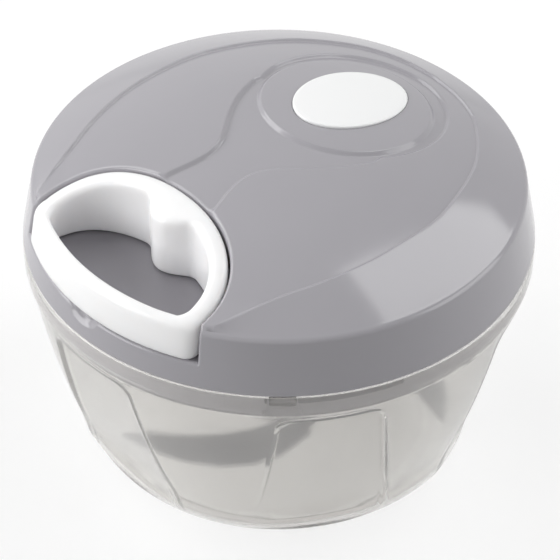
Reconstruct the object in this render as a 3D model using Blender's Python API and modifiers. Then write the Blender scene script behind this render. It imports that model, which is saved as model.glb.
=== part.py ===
"""A hand-pulled food chopper: a clear bowl with three sickle blades on a pin, and a domed lid whose
pull handle unwinds a cord from a sprung reel. The reel turns the blades through a ratchet.

Metres, +Z up. The origin is the middle of the bowl's foot. The handle docks at -Y, the oval badge
lies at +Y, and the cord, the reel and the blades share the vertical axis through the origin.
"""

import math

import bmesh
import bpy

# Clearances

GAP = 0.0003  # between pieces that touch or run on each other
OVERRUN = 0.004  # how far a cutter reaches past what it cuts
EMBED = 0.0006  # how deep a joined piece is sunk into its neighbour
MERGE = 0.000001

# Round pieces

SEGMENTS = 60
REEL_SEGMENTS = 36
SMALL_SEGMENTS = 24

# Bowl

RIM_RADIUS = 0.065  # the lid's skirt and the bowl's collar are flush here
BOWL_HEIGHT = 0.065  # foot to the step under the lid's skirt
BOWL_WALL = 0.0022
BOWL_FLOOR = 0.0024
FOOT_SHARE = 40 / 65  # the foot ring's radius, of RIM_RADIUS
FOOT_WIDTH = 0.0028
FOOT_HEIGHT = 0.001
BOWL_FLAT_SHARE = 43.5 / 65  # the floor is flat inside this radius, of RIM_RADIUS
BOWL_SIDE_SHARES = (  # (height as a share of BOWL_HEIGHT, radius as a share of RIM_RADIUS)
    (0.045, 0.735),
    (0.10, 0.785),
    (0.25, 0.835),
    (0.50, 0.909),
    (0.75, 0.964),
)
COLLAR_HEIGHT = 0.0064  # the straight band under the lid
LIP_HEIGHT = 0.0026  # stands up inside the lid's skirt
LIP_WALL = 0.0014
LIP_BASE = 0.0022  # how far below the step the lip's inner wall runs

# Flat panels pressed into the bowl's side

PANELS = 6
PANEL_FIRST_AZIMUTH = math.radians(-30)
PANEL_HALF_WIDTH = 0.016
PANEL_STEP = 0.0006
PANEL_STEP_WIDTH = 0.0012
PANEL_TOP_SHARE = 56 / 65  # of BOWL_HEIGHT
PANEL_CORNER = 0.005
PANEL_BOTTOM = 0.0045
PANEL_RUNOUT = 0.004

# Bayonet

LUGS = 4
LUG_AZIMUTH = math.radians(-41)
LUG_HALF_ANGLE = math.radians(3)
LUG_HEIGHT = 0.002
LUG_DROP = 0.0042  # the step's height above the lug's foot
LUG_REACH = 0.0012  # how far the lug stands into the lock skirt's wall
LOCK_TURN = math.radians(24)
SLOT_SIDE_ANGLE = math.radians(1)

# Centre pin and its post in the bowl

POST_RADIUS = 0.006
POST_TOP_RADIUS = 0.0042
POST_FOOT_RADIUS = 0.0068
BOWL_MIDDLE_RADIUS = 0.0045  # the ring-shaped wall stops here, and the post closes it
POST_HEIGHT = 0.0042  # above the bowl's floor
PIN_RADIUS = 0.0016
PIN_FOOT = 0.0018  # the pin's lower end above the foot
PIN_LENGTH = 0.0250

# Lid cover

SKIRT_HEIGHT = 0.0153
SKIRT_FLARE = 0.0028  # how much wider the skirt is at its foot than at the crease
DOME_RISE = 0.0146
LID_WALL = 0.002
CREASE_FILLET = 0.0018
DOME_POINTS = 6

# Badge, an oval set into the dome

BADGE_PLACE_SHARE = 24 / 65  # of RIM_RADIUS, as are the next two
BADGE_HALF_LENGTH_SHARE = 16.5 / 65
BADGE_HALF_WIDTH_SHARE = 12 / 65
BADGE_SEAT = 0.0010
BADGE_PROUD = 0.0005
BADGE_POINTS = 40

# Pull handle and the recess it docks in

HANDLE_LENGTH_SHARE = 34.7 / 65  # rim to the back of the arch, of RIM_RADIUS, as are the next two
ARCH_DEPTH_SHARE = 21.7 / 65
ARCH_HALF_WIDTH_SHARE = 30 / 65
ARCH_POWER = 2.2
ARCH_POINTS = 22
HANDLE_FLARE = 0.0016  # each side, from the arch's ends to the front corners
HANDLE_FLARE_RUN = 0.004
HANDLE_WALL = 0.0046
FRONT_BAR = 0.0050
HANDLE_BOSS_DEPTH = 0.0053
HANDLE_BOSS_HALF_WIDTH = 0.008
HANDLE_BOSS_POWER = 1.25
HANDLE_BOSS_POINTS = 8
HANDLE_FRONT_POINTS = 10
HANDLE_PROUD = 0.0002
LEDGE_HEIGHT = 0.0067  # the skirt's foot to the recess's floor
RECESS_GAP = 0.0005
RECESS_WALL = 0.0018

# Finger scallop in the ledge under the handle's front bar

SCALLOP_HALF_WIDTH = 0.0056
SCALLOP_DEPTH = 0.0027
SCALLOP_REACH = 0.0030

# Cord, its guide and its knot

CORD_RADIUS = 0.0010
CORD_SIDES_STEPS = 1
CORD_TURNS = 4
TURN_POINTS = 24
KNOT_RADIUS = 0.0021
KNOT_SETBACK = 0.0052  # the knot's centre behind the handle's back face
GUIDE_WALL = 0.0011
GUIDE_FLANGE = 0.0012
GUIDE_FLANGE_THICKNESS = 0.0010

# Lid base plate with its lock skirt, and the seal

PLATE_THICKNESS = 0.002
LOCK_WALL = 0.0016
LOCK_DROP = 0.0064  # the lock skirt's foot below the bowl's step
SEAL_HEIGHT = 0.0018
SEAL_FLANGE = 0.0015

# Lid screws

SCREW_AZIMUTHS = tuple(math.radians(a) for a in (-20, 55, 125, 200))
SCREW_INSET = 0.00998  # from the lock skirt's bore in to the screws
SCREW_RADIUS = 0.0012
SCREW_HEAD_RADIUS = 0.0027
SCREW_HEAD_HEIGHT = 0.0016
SCREW_LENGTH = 0.0120
SCREW_SLOT_WIDTH = 0.0008
SCREW_SLOT_DEPTH = 0.0007
SCREW_BOSS_WALL = 0.0020

# Drive hub, its bush and the ratchet

HUB_RADIUS = 0.0065
HUB_WALL = 0.0013
HUB_DISC = 0.004
HUB_STEM_DROP = 0.0058  # the stem's foot below the base plate
BUSH_WALL = 0.0013
BUSH_FLANGE = 0.0022
BUSH_FLANGE_THICKNESS = 0.0010
BUSH_DROP = 0.0010  # how far the bush reaches below the base plate
RATCHET_TEETH = 12
RATCHET_TIP_SHARE = 12.4 / 16.4  # of DRUM_RADIUS, as is the next
RATCHET_ROOT_SHARE = 10.8 / 16.4

# Dog coupling between the hub and the blade shaft

DOGS = 2
DOG_HALF_ANGLE = math.radians(17)
DOG_BITE = 0.0015
DOG_LEAD_ANGLE = math.radians(2)
SHAFT_HEAD_HEIGHT = 0.0062

# Reel

REEL_CLEARANCE = 0.0046  # the reel's flange to the recess's inner wall
DRUM_SHARE = 16.4 / 23.4  # the drum's radius, of REEL_RADIUS
REEL_WEB = 0.0014
REEL_CAP = 0.0012
REEL_CAP_SPIGOT = 0.0012
DRUM_WALL = 0.0014
CAP_SPIGOT_WALL = 0.0012

# Arbor that carries the reel and the spring's inner end

ARBOR_RADIUS = 0.0041
ARBOR_FLANGE = 0.0026
ARBOR_FLANGE_THICKNESS = 0.0011
ARBOR_SLOT = 0.0013
ARBOR_SCREW_RADIUS = 0.0015
ARBOR_BOSS_DROP = 0.0032
ARBOR_BOSS_RADIUS = 0.0070
WASHER_RADIUS = 0.0064
WASHER_THICKNESS = 0.0008
ARBOR_SCREW_BITE = 0.0024

# Clock spring in the drum

SPRING_STRIP = 0.0004
SPRING_HEIGHT_SHARE = 0.80  # of the room in the drum
SPRING_TURNS = 6
SPRING_TURN_POINTS = 18

# Clutch pawls under the reel

PAWLS = 3
PAWL_SWEEP = math.radians(36)
PAWL_WALL = 0.0010
PAWL_LIFT = 0.0006  # the nose's inner corner above the ratchet's root
PAWL_NOSE_GAPS = 1.2  # the nose's distance from the tooth, in running gaps
PAWL_PIN_RADIUS = 0.0011
PAWL_FIRST_AZIMUTH = math.radians(100)

# Blades and their shaft, lowest first

SHAFT_CORE_RADIUS = 0.0040
SHAFT_COLLAR_RADIUS = 0.0075
HEAD_ROOF = 0.0090  # the drive head is solid this far below its shoulder
BLADE_THICKNESS = 0.0010
BLADE_HEIGHTS = (0.0120, 0.0205, 0.0330)
BLADE_TIP_AZIMUTHS = tuple(math.radians(a) for a in (26, -94, 146))
BLADE_WALL_CLEARANCE = 0.0010
BLADE_EYE_START = 120  # degrees behind the tip where the outer edge meets the eye
BLADE_EYE_END = 98
BLADE_OUTER_SHARES = (  # (degrees behind the tip, radius as a share of the tip's)
    (0, 1.0),
    (11, 0.980),
    (22, 0.945),
    (33, 0.900),
    (44, 0.840),
    (54, 0.760),
    (66, 0.640),
    (80, 0.490),
    (94, 0.350),
    (108, 0.230),
)
BLADE_INNER_SHARES = (
    (4.5, 0.907),
    (9, 0.850),
    (17, 0.775),
    (27, 0.690),
    (38, 0.610),
    (50, 0.520),
    (64, 0.410),
    (78, 0.300),
    (88, 0.215),
)
SHAFT_HOLE_CLEARANCE = 0.0004

# Heights and radii that follow from the sizes above

FOOT_RADIUS = RIM_RADIUS * FOOT_SHARE
BOWL_FLAT_RADIUS = RIM_RADIUS * BOWL_FLAT_SHARE
PANEL_TOP = BOWL_HEIGHT * PANEL_TOP_SHARE
BADGE_Y = RIM_RADIUS * BADGE_PLACE_SHARE
BADGE_HALF_LENGTH = RIM_RADIUS * BADGE_HALF_LENGTH_SHARE
BADGE_HALF_WIDTH = RIM_RADIUS * BADGE_HALF_WIDTH_SHARE
HANDLE_LENGTH = RIM_RADIUS * HANDLE_LENGTH_SHARE
ARCH_DEPTH = RIM_RADIUS * ARCH_DEPTH_SHARE
ARCH_HALF_WIDTH = RIM_RADIUS * ARCH_HALF_WIDTH_SHARE

Z_FLOOR = FOOT_HEIGHT + BOWL_FLOOR
Z_STEP = BOWL_HEIGHT
Z_SKIRT = Z_STEP + GAP
Z_CREASE = Z_SKIRT + SKIRT_HEIGHT
CREASE_RADIUS = RIM_RADIUS - SKIRT_FLARE
Z_DOME_TOP = Z_CREASE + DOME_RISE
Z_RECESS = Z_SKIRT + LEDGE_HEIGHT
Z_LIP = Z_STEP + LIP_HEIGHT

HANDLE_BACK_Y = HANDLE_LENGTH - RIM_RADIUS
ARCH_Y = HANDLE_BACK_Y - ARCH_DEPTH
FRONT_BAR_RADIUS = RIM_RADIUS - SKIRT_FLARE - FRONT_BAR + GAP
RECESS_BACK_Y = HANDLE_BACK_Y + RECESS_GAP
RECESS_WALL_Y = RECESS_BACK_Y + RECESS_WALL

Z_PLATE = Z_STEP
Z_PLATE_TOP = Z_PLATE + PLATE_THICKNESS
Z_BUSH_FLANGE = Z_PLATE_TOP + GAP
Z_HUB = Z_BUSH_FLANGE + BUSH_FLANGE_THICKNESS + GAP
Z_HUB_TOP = Z_HUB + HUB_DISC
Z_HUB_FOOT = Z_PLATE - HUB_STEM_DROP
Z_REEL = Z_HUB_TOP + GAP
Z_WASHER = Z_REEL - GAP - WASHER_THICKNESS
Z_ARBOR_BOSS = Z_DOME_TOP - LID_WALL - ARBOR_BOSS_DROP
Z_ARBOR_TOP = Z_ARBOR_BOSS - GAP
Z_CAP_TOP = Z_ARBOR_TOP - ARBOR_FLANGE_THICKNESS - GAP
Z_CAP = Z_CAP_TOP - REEL_CAP
Z_DRUM = Z_REEL + REEL_WEB
Z_DRUM_TOP = Z_CAP - GAP
Z_CORD = Z_DRUM + GAP + CORD_RADIUS  # the cord leaves the drum's lowest turn level

REEL_RADIUS = -RECESS_WALL_Y - REEL_CLEARANCE
DRUM_RADIUS = REEL_RADIUS * DRUM_SHARE
DRUM_BORE = DRUM_RADIUS - DRUM_WALL
WINDING_RADIUS = DRUM_RADIUS + GAP + CORD_RADIUS
RATCHET_TIP_RADIUS = DRUM_RADIUS * RATCHET_TIP_SHARE
RATCHET_ROOT_RADIUS = DRUM_RADIUS * RATCHET_ROOT_SHARE

LIP_RADIUS = RIM_RADIUS - SKIRT_FLARE * (Z_LIP - Z_SKIRT) / SKIRT_HEIGHT - LID_WALL - GAP
LIP_BORE = LIP_RADIUS - LIP_WALL
LOCK_RADIUS = LIP_BORE - GAP
LOCK_BORE = LOCK_RADIUS - LOCK_WALL
SCREW_CIRCLE_RADIUS = LOCK_BORE - SCREW_INSET
Z_LOCK_FOOT = Z_STEP - LOCK_DROP
Z_SEAL = Z_LIP + GAP
Z_SEAL_FLANGE = Z_SEAL + SEAL_HEIGHT + GAP
Z_LUG = Z_STEP - LUG_DROP

BUSH_BORE = HUB_RADIUS + GAP
BUSH_RADIUS = BUSH_BORE + BUSH_WALL
BUSH_FLANGE_RADIUS = BUSH_RADIUS + BUSH_FLANGE
SOCKET_RADIUS = HUB_RADIUS - HUB_WALL
SHAFT_HEAD_RADIUS = SOCKET_RADIUS - GAP
SHAFT_HEAD_CORE = SOCKET_RADIUS - DOG_BITE - 2 * GAP
Z_SHAFT_SHOULDER = Z_HUB_FOOT - GAP
Z_SHAFT_TOP = Z_SHAFT_SHOULDER + SHAFT_HEAD_HEIGHT
Z_POST_TOP = Z_FLOOR + POST_HEIGHT
Z_SHAFT_FOOT = Z_POST_TOP + GAP
Z_PIN_TOP = PIN_FOOT + PIN_LENGTH
SHAFT_BORE = PIN_RADIUS + SHAFT_HOLE_CLEARANCE
SPACER_BORE = SHAFT_CORE_RADIUS + GAP
Z_HEAD_BORE = Z_SHAFT_SHOULDER - HEAD_ROOF


def clear_scene():
    for obj in list(bpy.data.objects):
        bpy.data.objects.remove(obj, do_unlink=True)


def new_collection(name):
    collection = bpy.data.collections.new(name)
    bpy.context.scene.collection.children.link(collection)
    return collection


clear_scene()
PARTS = new_collection("manual_food_chopper")
CUTTERS = new_collection("cutters")


def principled(name, colour, roughness, metallic=0.0, transmission=0.0, alpha=1.0):
    material = bpy.data.materials.new(name)
    material.use_nodes = True
    shader = material.node_tree.nodes["Principled BSDF"]
    shader.inputs["Base Color"].default_value = (*colour, 1.0)
    shader.inputs["Roughness"].default_value = roughness
    shader.inputs["Metallic"].default_value = metallic
    shader.inputs["Transmission Weight"].default_value = transmission
    shader.inputs["Alpha"].default_value = alpha
    material.diffuse_color = (*colour, alpha)
    return material


LID_GREY = principled("lid_grey", (0.39, 0.38, 0.41), 0.34)
WHITE = principled("handle_white", (0.88, 0.87, 0.88), 0.25)
CLEAR = principled("clear_bowl", (0.90, 0.90, 0.88), 0.04, transmission=1.0, alpha=0.35)
INNER_GREY = principled("inner_grey", (0.36, 0.35, 0.38), 0.5)
INNER_WHITE = principled("inner_white", (0.80, 0.80, 0.79), 0.45)
STEEL = principled("steel", (0.62, 0.62, 0.64), 0.28, metallic=1.0)
SEAL_RUBBER = principled("seal_rubber", (0.70, 0.70, 0.70), 0.6)
CORD_BRAID = principled("cord_braid", (0.78, 0.78, 0.78), 0.85)


def place(obj, collection, material=None):
    collection.objects.link(obj)
    if material:
        obj.data.materials.append(material)
    if collection is CUTTERS:
        obj.hide_render = True
        obj.display_type = "WIRE"
    return obj


def finish(obj, sharp=math.radians(35)):
    """Shades a mesh smooth, apart from its sharp edges."""
    obj.data.shade_smooth()
    obj.data.set_sharp_from_angle(angle=sharp)
    return obj


def settled(obj):
    """The object with its modifiers made into its mesh, welded, and facing out."""
    bpy.context.view_layer.update()
    graph = bpy.context.evaluated_depsgraph_get()
    mesh = bpy.data.meshes.new_from_object(obj.evaluated_get(graph))
    shape = bmesh.new()
    shape.from_mesh(mesh)
    bmesh.ops.remove_doubles(shape, verts=shape.verts, dist=MERGE)
    bmesh.ops.recalc_face_normals(shape, faces=shape.faces)
    shape.to_mesh(mesh)
    shape.free()
    if obj.type == "MESH":
        obj.modifiers.clear()
        obj.data = mesh
        return obj
    solid = bpy.data.objects.new(obj.name, mesh)
    solid.matrix_world = obj.matrix_world
    name = obj.name
    for holder in list(obj.users_collection):
        holder.objects.link(solid)
    solid.hide_render = obj.hide_render
    solid.display_type = obj.display_type
    bpy.data.objects.remove(obj, do_unlink=True)
    solid.name = name
    return solid


def boolean(obj, other, operation):
    """Cuts, joins or trims obj with other, which then stays as a hidden helper."""
    modifier = obj.modifiers.new(operation.lower(), "BOOLEAN")
    modifier.operation = operation
    modifier.object = other
    return obj


def cut(obj, *cutters):
    for cutter in cutters:
        boolean(obj, cutter, "DIFFERENCE")
    return obj


def join(obj, *others):
    for other in others:
        boolean(obj, other, "UNION")
    return obj


def trim(obj, other):
    return boolean(obj, other, "INTERSECT")


def clockwise(profile):
    """The profile, running down its outer side, as a Screw needs."""
    area = sum(
        a[0] * b[1] - b[0] * a[1] for a, b in zip(profile, profile[1:] + profile[:1])
    )
    return profile if area < 0 else profile[::-1]


def turned(name, profile, collection=PARTS, material=None, segments=SEGMENTS, about=(0.0, 0.0)):
    """A profile of (radius, height) turned about a vertical axis: a ring, or a solid if it meets the axis."""
    profile = clockwise(list(profile))
    on_axis = [i for i, (x, _) in enumerate(profile) if abs(x) < MERGE]
    closed = len(on_axis) < 2
    if not closed:
        # The run of points from the upper axis point round to the lower one, without the edge along the axis.
        first = max(on_axis, key=lambda i: profile[i][1])
        profile = profile[first:] + profile[:first]
    mesh = bpy.data.meshes.new(name)
    edges = [(i, i + 1) for i in range(len(profile) - 1)]
    if closed:
        edges.append((len(profile) - 1, 0))
    mesh.from_pydata([(x, 0, z) for x, z in profile], edges, [])
    obj = place(bpy.data.objects.new(name, mesh), collection, material)
    screw = obj.modifiers.new("turn", "SCREW")
    screw.steps = segments
    screw.render_steps = segments
    screw.use_merge_vertices = True
    screw.merge_threshold = MERGE
    screw.use_normal_calculate = True
    settled(obj)
    obj.location = (about[0], about[1], 0)
    return finish(obj)


def tube_profile(inner, outer, low, high):
    return [(inner, high), (outer, high), (outer, low), (inner, low)]


def rod_profile(radius, low, high):
    return [(0, high), (radius, high), (radius, low), (0, low)]


def prism(name, outlines, low, high, collection=PARTS, material=None):
    """A flat outline, with any holes after it, extruded between two heights."""
    curve = bpy.data.curves.new(name, "CURVE")
    curve.dimensions = "2D"
    curve.fill_mode = "BOTH"
    curve.extrude = (high - low) / 2
    for outline in outlines:
        spline = curve.splines.new("POLY")
        spline.points.add(len(outline) - 1)
        for point, (x, y) in zip(spline.points, outline):
            point.co = (x, y, 0, 1)
        spline.use_cyclic_u = True
    obj = place(bpy.data.objects.new(name, curve), collection)
    obj.location = (0, 0, (low + high) / 2)
    obj = settled(obj)
    if material:
        obj.data.materials.clear()
        obj.data.materials.append(material)
    return finish(obj)


def sweep(name, points, radius, steps, collection=PARTS, material=None):
    """A round tube along points, with its ends capped."""
    curve = bpy.data.curves.new(name, "CURVE")
    curve.dimensions = "3D"
    curve.bevel_depth = radius
    curve.bevel_resolution = steps
    curve.use_fill_caps = True
    spline = curve.splines.new("POLY")
    spline.points.add(len(points) - 1)
    for point, place_ in zip(spline.points, points):
        point.co = (*place_, 1)
    obj = settled(place(bpy.data.objects.new(name, curve), collection))
    if material:
        obj.data.materials.clear()
        obj.data.materials.append(material)
    return finish(obj)


def loft(name, rings, collection=PARTS, material=None):
    """A closed skin over rings of equal count, joined end to end in a loop."""
    shape = bmesh.new()
    rows = [[shape.verts.new(p) for p in ring] for ring in rings]
    for upper, lower in zip(rows, rows[1:] + rows[:1]):
        for i in range(len(upper)):
            j = (i + 1) % len(upper)
            shape.faces.new((upper[i], upper[j], lower[j], lower[i]))
    bmesh.ops.recalc_face_normals(shape, faces=shape.faces)
    mesh = bpy.data.meshes.new(name)
    shape.to_mesh(mesh)
    shape.free()
    return finish(place(bpy.data.objects.new(name, mesh), collection, material))


def circle(radius, count, centre=(0.0, 0.0)):
    return [
        (
            centre[0] + radius * math.cos(2 * math.pi * i / count),
            centre[1] + radius * math.sin(2 * math.pi * i / count),
        )
        for i in range(count)
    ]


def sector(inner, outer, start, end, steps=4):
    """The outline of a piece of a ring between two angles."""
    angles = [start + (end - start) * i / steps for i in range(steps + 1)]
    out = [(outer * math.cos(a), outer * math.sin(a)) for a in angles]
    back = [(inner * math.cos(a), inner * math.sin(a)) for a in reversed(angles)]
    return out + back


def interpolated(x, table):
    """y at x on straight lines through a table of (x, y)."""
    for (x0, y0), (x1, y1) in zip(table, table[1:]):
        if x <= x1:
            break
    return y0 + (y1 - y0) * (x - x0) / (x1 - x0)


def skirt_radius(z):
    """The lid's outer radius at a height on its skirt."""
    return RIM_RADIUS - SKIRT_FLARE * (z - Z_SKIRT) / SKIRT_HEIGHT


def dome_height(r):
    return Z_CREASE + DOME_RISE * (1 - (r / CREASE_RADIUS) ** 2)


def lid_outline(offset):
    """The lid's outer profile from the axis down to the skirt's foot, moved out by offset."""
    points = [(0, Z_DOME_TOP + offset)]
    for i in range(1, DOME_POINTS):
        r = CREASE_RADIUS * i / DOME_POINTS
        points.append((r, dome_height(r) + offset))
    drop = CREASE_FILLET * DOME_RISE / CREASE_RADIUS
    points.append((CREASE_RADIUS - CREASE_FILLET + offset, Z_CREASE + drop + offset))
    inward = CREASE_FILLET * (1 - math.sqrt(0.5))
    points.append((CREASE_RADIUS - inward / 2 + offset, Z_CREASE - inward / 2 + offset))
    z = Z_CREASE - CREASE_FILLET
    points.append((skirt_radius(z) + offset, z))
    points.append((RIM_RADIUS + offset, Z_SKIRT))
    return points


def lid_solid(name, offset, low):
    """The lid's outer shape as a solid down to a height, a helper for what follows it."""
    points = lid_outline(offset)
    points[-1] = (skirt_radius(low) + offset, low)
    return turned(name, points + [(0, low)], CUTTERS)


def arch_outline(margin, front_y):
    """The handle's outer outline grown by margin: an arched back, flared sides, open to the front."""
    half = ARCH_HALF_WIDTH + margin
    depth = ARCH_DEPTH + margin
    back = []
    for i in range(ARCH_POINTS + 1):
        angle = math.pi * i / ARCH_POINTS
        c, s = math.cos(angle), math.sin(angle)
        x = half * math.copysign(abs(c) ** (2 / ARCH_POWER), c)
        back.append((x, ARCH_Y + depth * s ** (2 / ARCH_POWER)))
    slope = HANDLE_FLARE / HANDLE_FLARE_RUN
    wide = half + slope * (ARCH_Y - front_y)
    return back + [(-wide, front_y), (wide, front_y)]


def finger_outline():
    """The handle's inner outline: the arch less its wall, a boss at the back, and a bar along the rim."""
    half = ARCH_HALF_WIDTH - HANDLE_WALL
    depth = ARCH_DEPTH - HANDLE_WALL
    corner = math.asin(half / FRONT_BAR_RADIUS)
    points = []
    for i in range(1, ARCH_POINTS):
        angle = math.pi * i / ARCH_POINTS
        c, s = math.cos(angle), math.sin(angle)
        x = half * math.copysign(abs(c) ** (2 / ARCH_POWER), c)
        if abs(x) > HANDLE_BOSS_HALF_WIDTH:
            points.append((x, ARCH_Y + depth * s ** (2 / ARCH_POWER)))
    right = [p for p in points if p[0] > 0]
    left = [p for p in points if p[0] < 0]
    boss = []
    for i in range(HANDLE_BOSS_POINTS + 1):
        u = 1 - 2 * i / HANDLE_BOSS_POINTS
        bump = (1 - u * u) ** HANDLE_BOSS_POWER
        boss.append((HANDLE_BOSS_HALF_WIDTH * u, ARCH_Y + depth - HANDLE_BOSS_DEPTH * bump))
    front = []
    for i in range(HANDLE_FRONT_POINTS + 1):
        angle = -math.pi / 2 - corner + 2 * corner * i / HANDLE_FRONT_POINTS
        front.append((FRONT_BAR_RADIUS * math.cos(angle), FRONT_BAR_RADIUS * math.sin(angle)))
    return right + boss + left + front


def bowl_radius(z):
    """The bowl's outer radius at a height, away from its panels."""
    table = [(share * BOWL_HEIGHT, radius * RIM_RADIUS) for share, radius in BOWL_SIDE_SHARES]
    table.append((Z_STEP - COLLAR_HEIGHT, RIM_RADIUS))
    table.append((Z_STEP, RIM_RADIUS))
    return interpolated(z, table)


def panel_half_width(z):
    """Half the panel's width at a height: none above its top, and drawn in round its upper corners."""
    down = PANEL_TOP - z
    if down <= 0:
        return 0.0
    if down < PANEL_CORNER:
        u = 1 - down / PANEL_CORNER
        return PANEL_HALF_WIDTH - PANEL_CORNER * (1 - math.sqrt(1 - u * u))
    return PANEL_HALF_WIDTH


def bowl_ring(z, radius, wall=0.0):
    """One ring of the bowl's skin, wall inside the outer one, with the panels pressed in."""
    width = panel_half_width(z)
    shown = PANEL_HALF_WIDTH if width == 0 else width
    edge = math.asin(shown / radius)
    step = edge - math.asin((shown - PANEL_STEP_WIDTH) / radius)
    half_pitch = math.pi / PANELS
    offsets = [
        -half_pitch,
        -(edge + half_pitch) / 2,
        -edge,
        step - edge,
        -edge / 2,
        0,
        edge / 2,
        edge - step,
        edge,
        (edge + half_pitch) / 2,
    ]
    fade = min(1.0, max(0.0, (z - PANEL_BOTTOM) / PANEL_RUNOUT))
    pressed = fade if width > 0 else 0.0
    flat = radius * math.cos(edge) - PANEL_STEP
    ring = []
    for k in range(PANELS):
        centre = PANEL_FIRST_AZIMUTH + 2 * half_pitch * k
        for offset in offsets:
            r = radius
            if abs(offset) < edge - step / 2:
                r += pressed * (min(radius, flat / math.cos(offset)) - radius)
            angle = centre + offset
            ring.append(((r - wall) * math.cos(angle), (r - wall) * math.sin(angle), z))
    return ring


def flat_ring(z, radius):
    """A plain ring whose points stand at the same angles as the bowl's panels need."""
    offsets_ring = bowl_ring(Z_STEP, RIM_RADIUS)
    return [
        (x * radius / RIM_RADIUS, y * radius / RIM_RADIUS, z) for x, y, _ in offsets_ring
    ]


def make_bowl():
    """The clear bowl: a foot ring, panelled sides, a straight collar, and a lip that fits inside the lid."""
    side = [share * BOWL_HEIGHT for share, _ in BOWL_SIDE_SHARES]
    collar_low = Z_STEP - COLLAR_HEIGHT
    upper = [
        PANEL_TOP - PANEL_CORNER,
        PANEL_TOP - PANEL_CORNER / 3,
        PANEL_TOP - PANEL_STEP_WIDTH / 3,
        PANEL_TOP + PANEL_STEP_WIDTH / 3,
        collar_low,
    ]
    heights = [z for z in side + upper]
    foot_in = FOOT_RADIUS - FOOT_WIDTH / 2
    foot_out = FOOT_RADIUS + FOOT_WIDTH / 2
    rings = [
        flat_ring(FOOT_HEIGHT, BOWL_MIDDLE_RADIUS),
        flat_ring(FOOT_HEIGHT, foot_in),
        flat_ring(0, foot_in),
        flat_ring(0, foot_out),
        flat_ring(FOOT_HEIGHT, foot_out),
        flat_ring(FOOT_HEIGHT, BOWL_FLAT_RADIUS),
    ]
    rings += [bowl_ring(z, bowl_radius(z)) for z in heights]
    rings += [
        flat_ring(Z_STEP, RIM_RADIUS),
        flat_ring(Z_STEP, LIP_RADIUS),
        flat_ring(Z_LIP, LIP_RADIUS),
        flat_ring(Z_LIP, LIP_BORE),
        flat_ring(Z_STEP - LIP_BASE, LIP_BORE),
        flat_ring(collar_low, RIM_RADIUS - BOWL_WALL),
    ]
    inside = [z for z in heights[:-1] if z > Z_FLOOR + BOWL_FLOOR / 2]
    rings += [bowl_ring(z, bowl_radius(z), BOWL_WALL) for z in reversed(inside)]
    low = Z_FLOOR + BOWL_FLOOR / 2
    rings += [
        flat_ring(low, bowl_radius(low) - BOWL_WALL - GAP),
        flat_ring(Z_FLOOR, BOWL_FLAT_RADIUS),
        flat_ring(Z_FLOOR, BOWL_MIDDLE_RADIUS),
    ]
    bowl = loft("bowl", rings, material=CLEAR)
    middle = turned(
        "bowl_middle",
        [
            (0, Z_POST_TOP),
            (POST_TOP_RADIUS, Z_POST_TOP),
            (POST_RADIUS, Z_FLOOR + POST_HEIGHT / 4),
            (POST_FOOT_RADIUS, Z_FLOOR - BOWL_FLOOR / 4),
            (POST_FOOT_RADIUS, FOOT_HEIGHT + BOWL_FLOOR / 4),
            (0, FOOT_HEIGHT + BOWL_FLOOR / 4),
        ],
        CUTTERS,
        segments=SMALL_SEGMENTS,
    )
    pin_hole = turned(
        "pin_hole",
        rod_profile(PIN_RADIUS + GAP, PIN_FOOT + FOOT_HEIGHT, Z_POST_TOP + OVERRUN),
        CUTTERS,
        segments=SMALL_SEGMENTS,
    )
    join(bowl, middle)
    for k in range(LUGS):
        azimuth = LUG_AZIMUTH + 2 * math.pi * k / LUGS
        lug = prism(
            f"lug_{k + 1}",
            [
                sector(
                    LOCK_RADIUS - LUG_REACH,
                    RIM_RADIUS - BOWL_WALL / 2,
                    azimuth - LUG_HALF_ANGLE,
                    azimuth + LUG_HALF_ANGLE,
                )
            ],
            Z_LUG,
            Z_LUG + LUG_HEIGHT,
            CUTTERS,
        )
        join(bowl, lug)
    return cut(bowl, pin_hole)


def make_centre_pin():
    low = PIN_FOOT + FOOT_HEIGHT + GAP
    tip = PIN_RADIUS / 2
    profile = [
        (0, Z_PIN_TOP),
        (tip, Z_PIN_TOP),
        (PIN_RADIUS, Z_PIN_TOP - tip),
        (PIN_RADIUS, low),
        (0, low),
    ]
    return turned("centre_pin", profile, material=STEEL, segments=SMALL_SEGMENTS)


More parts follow.
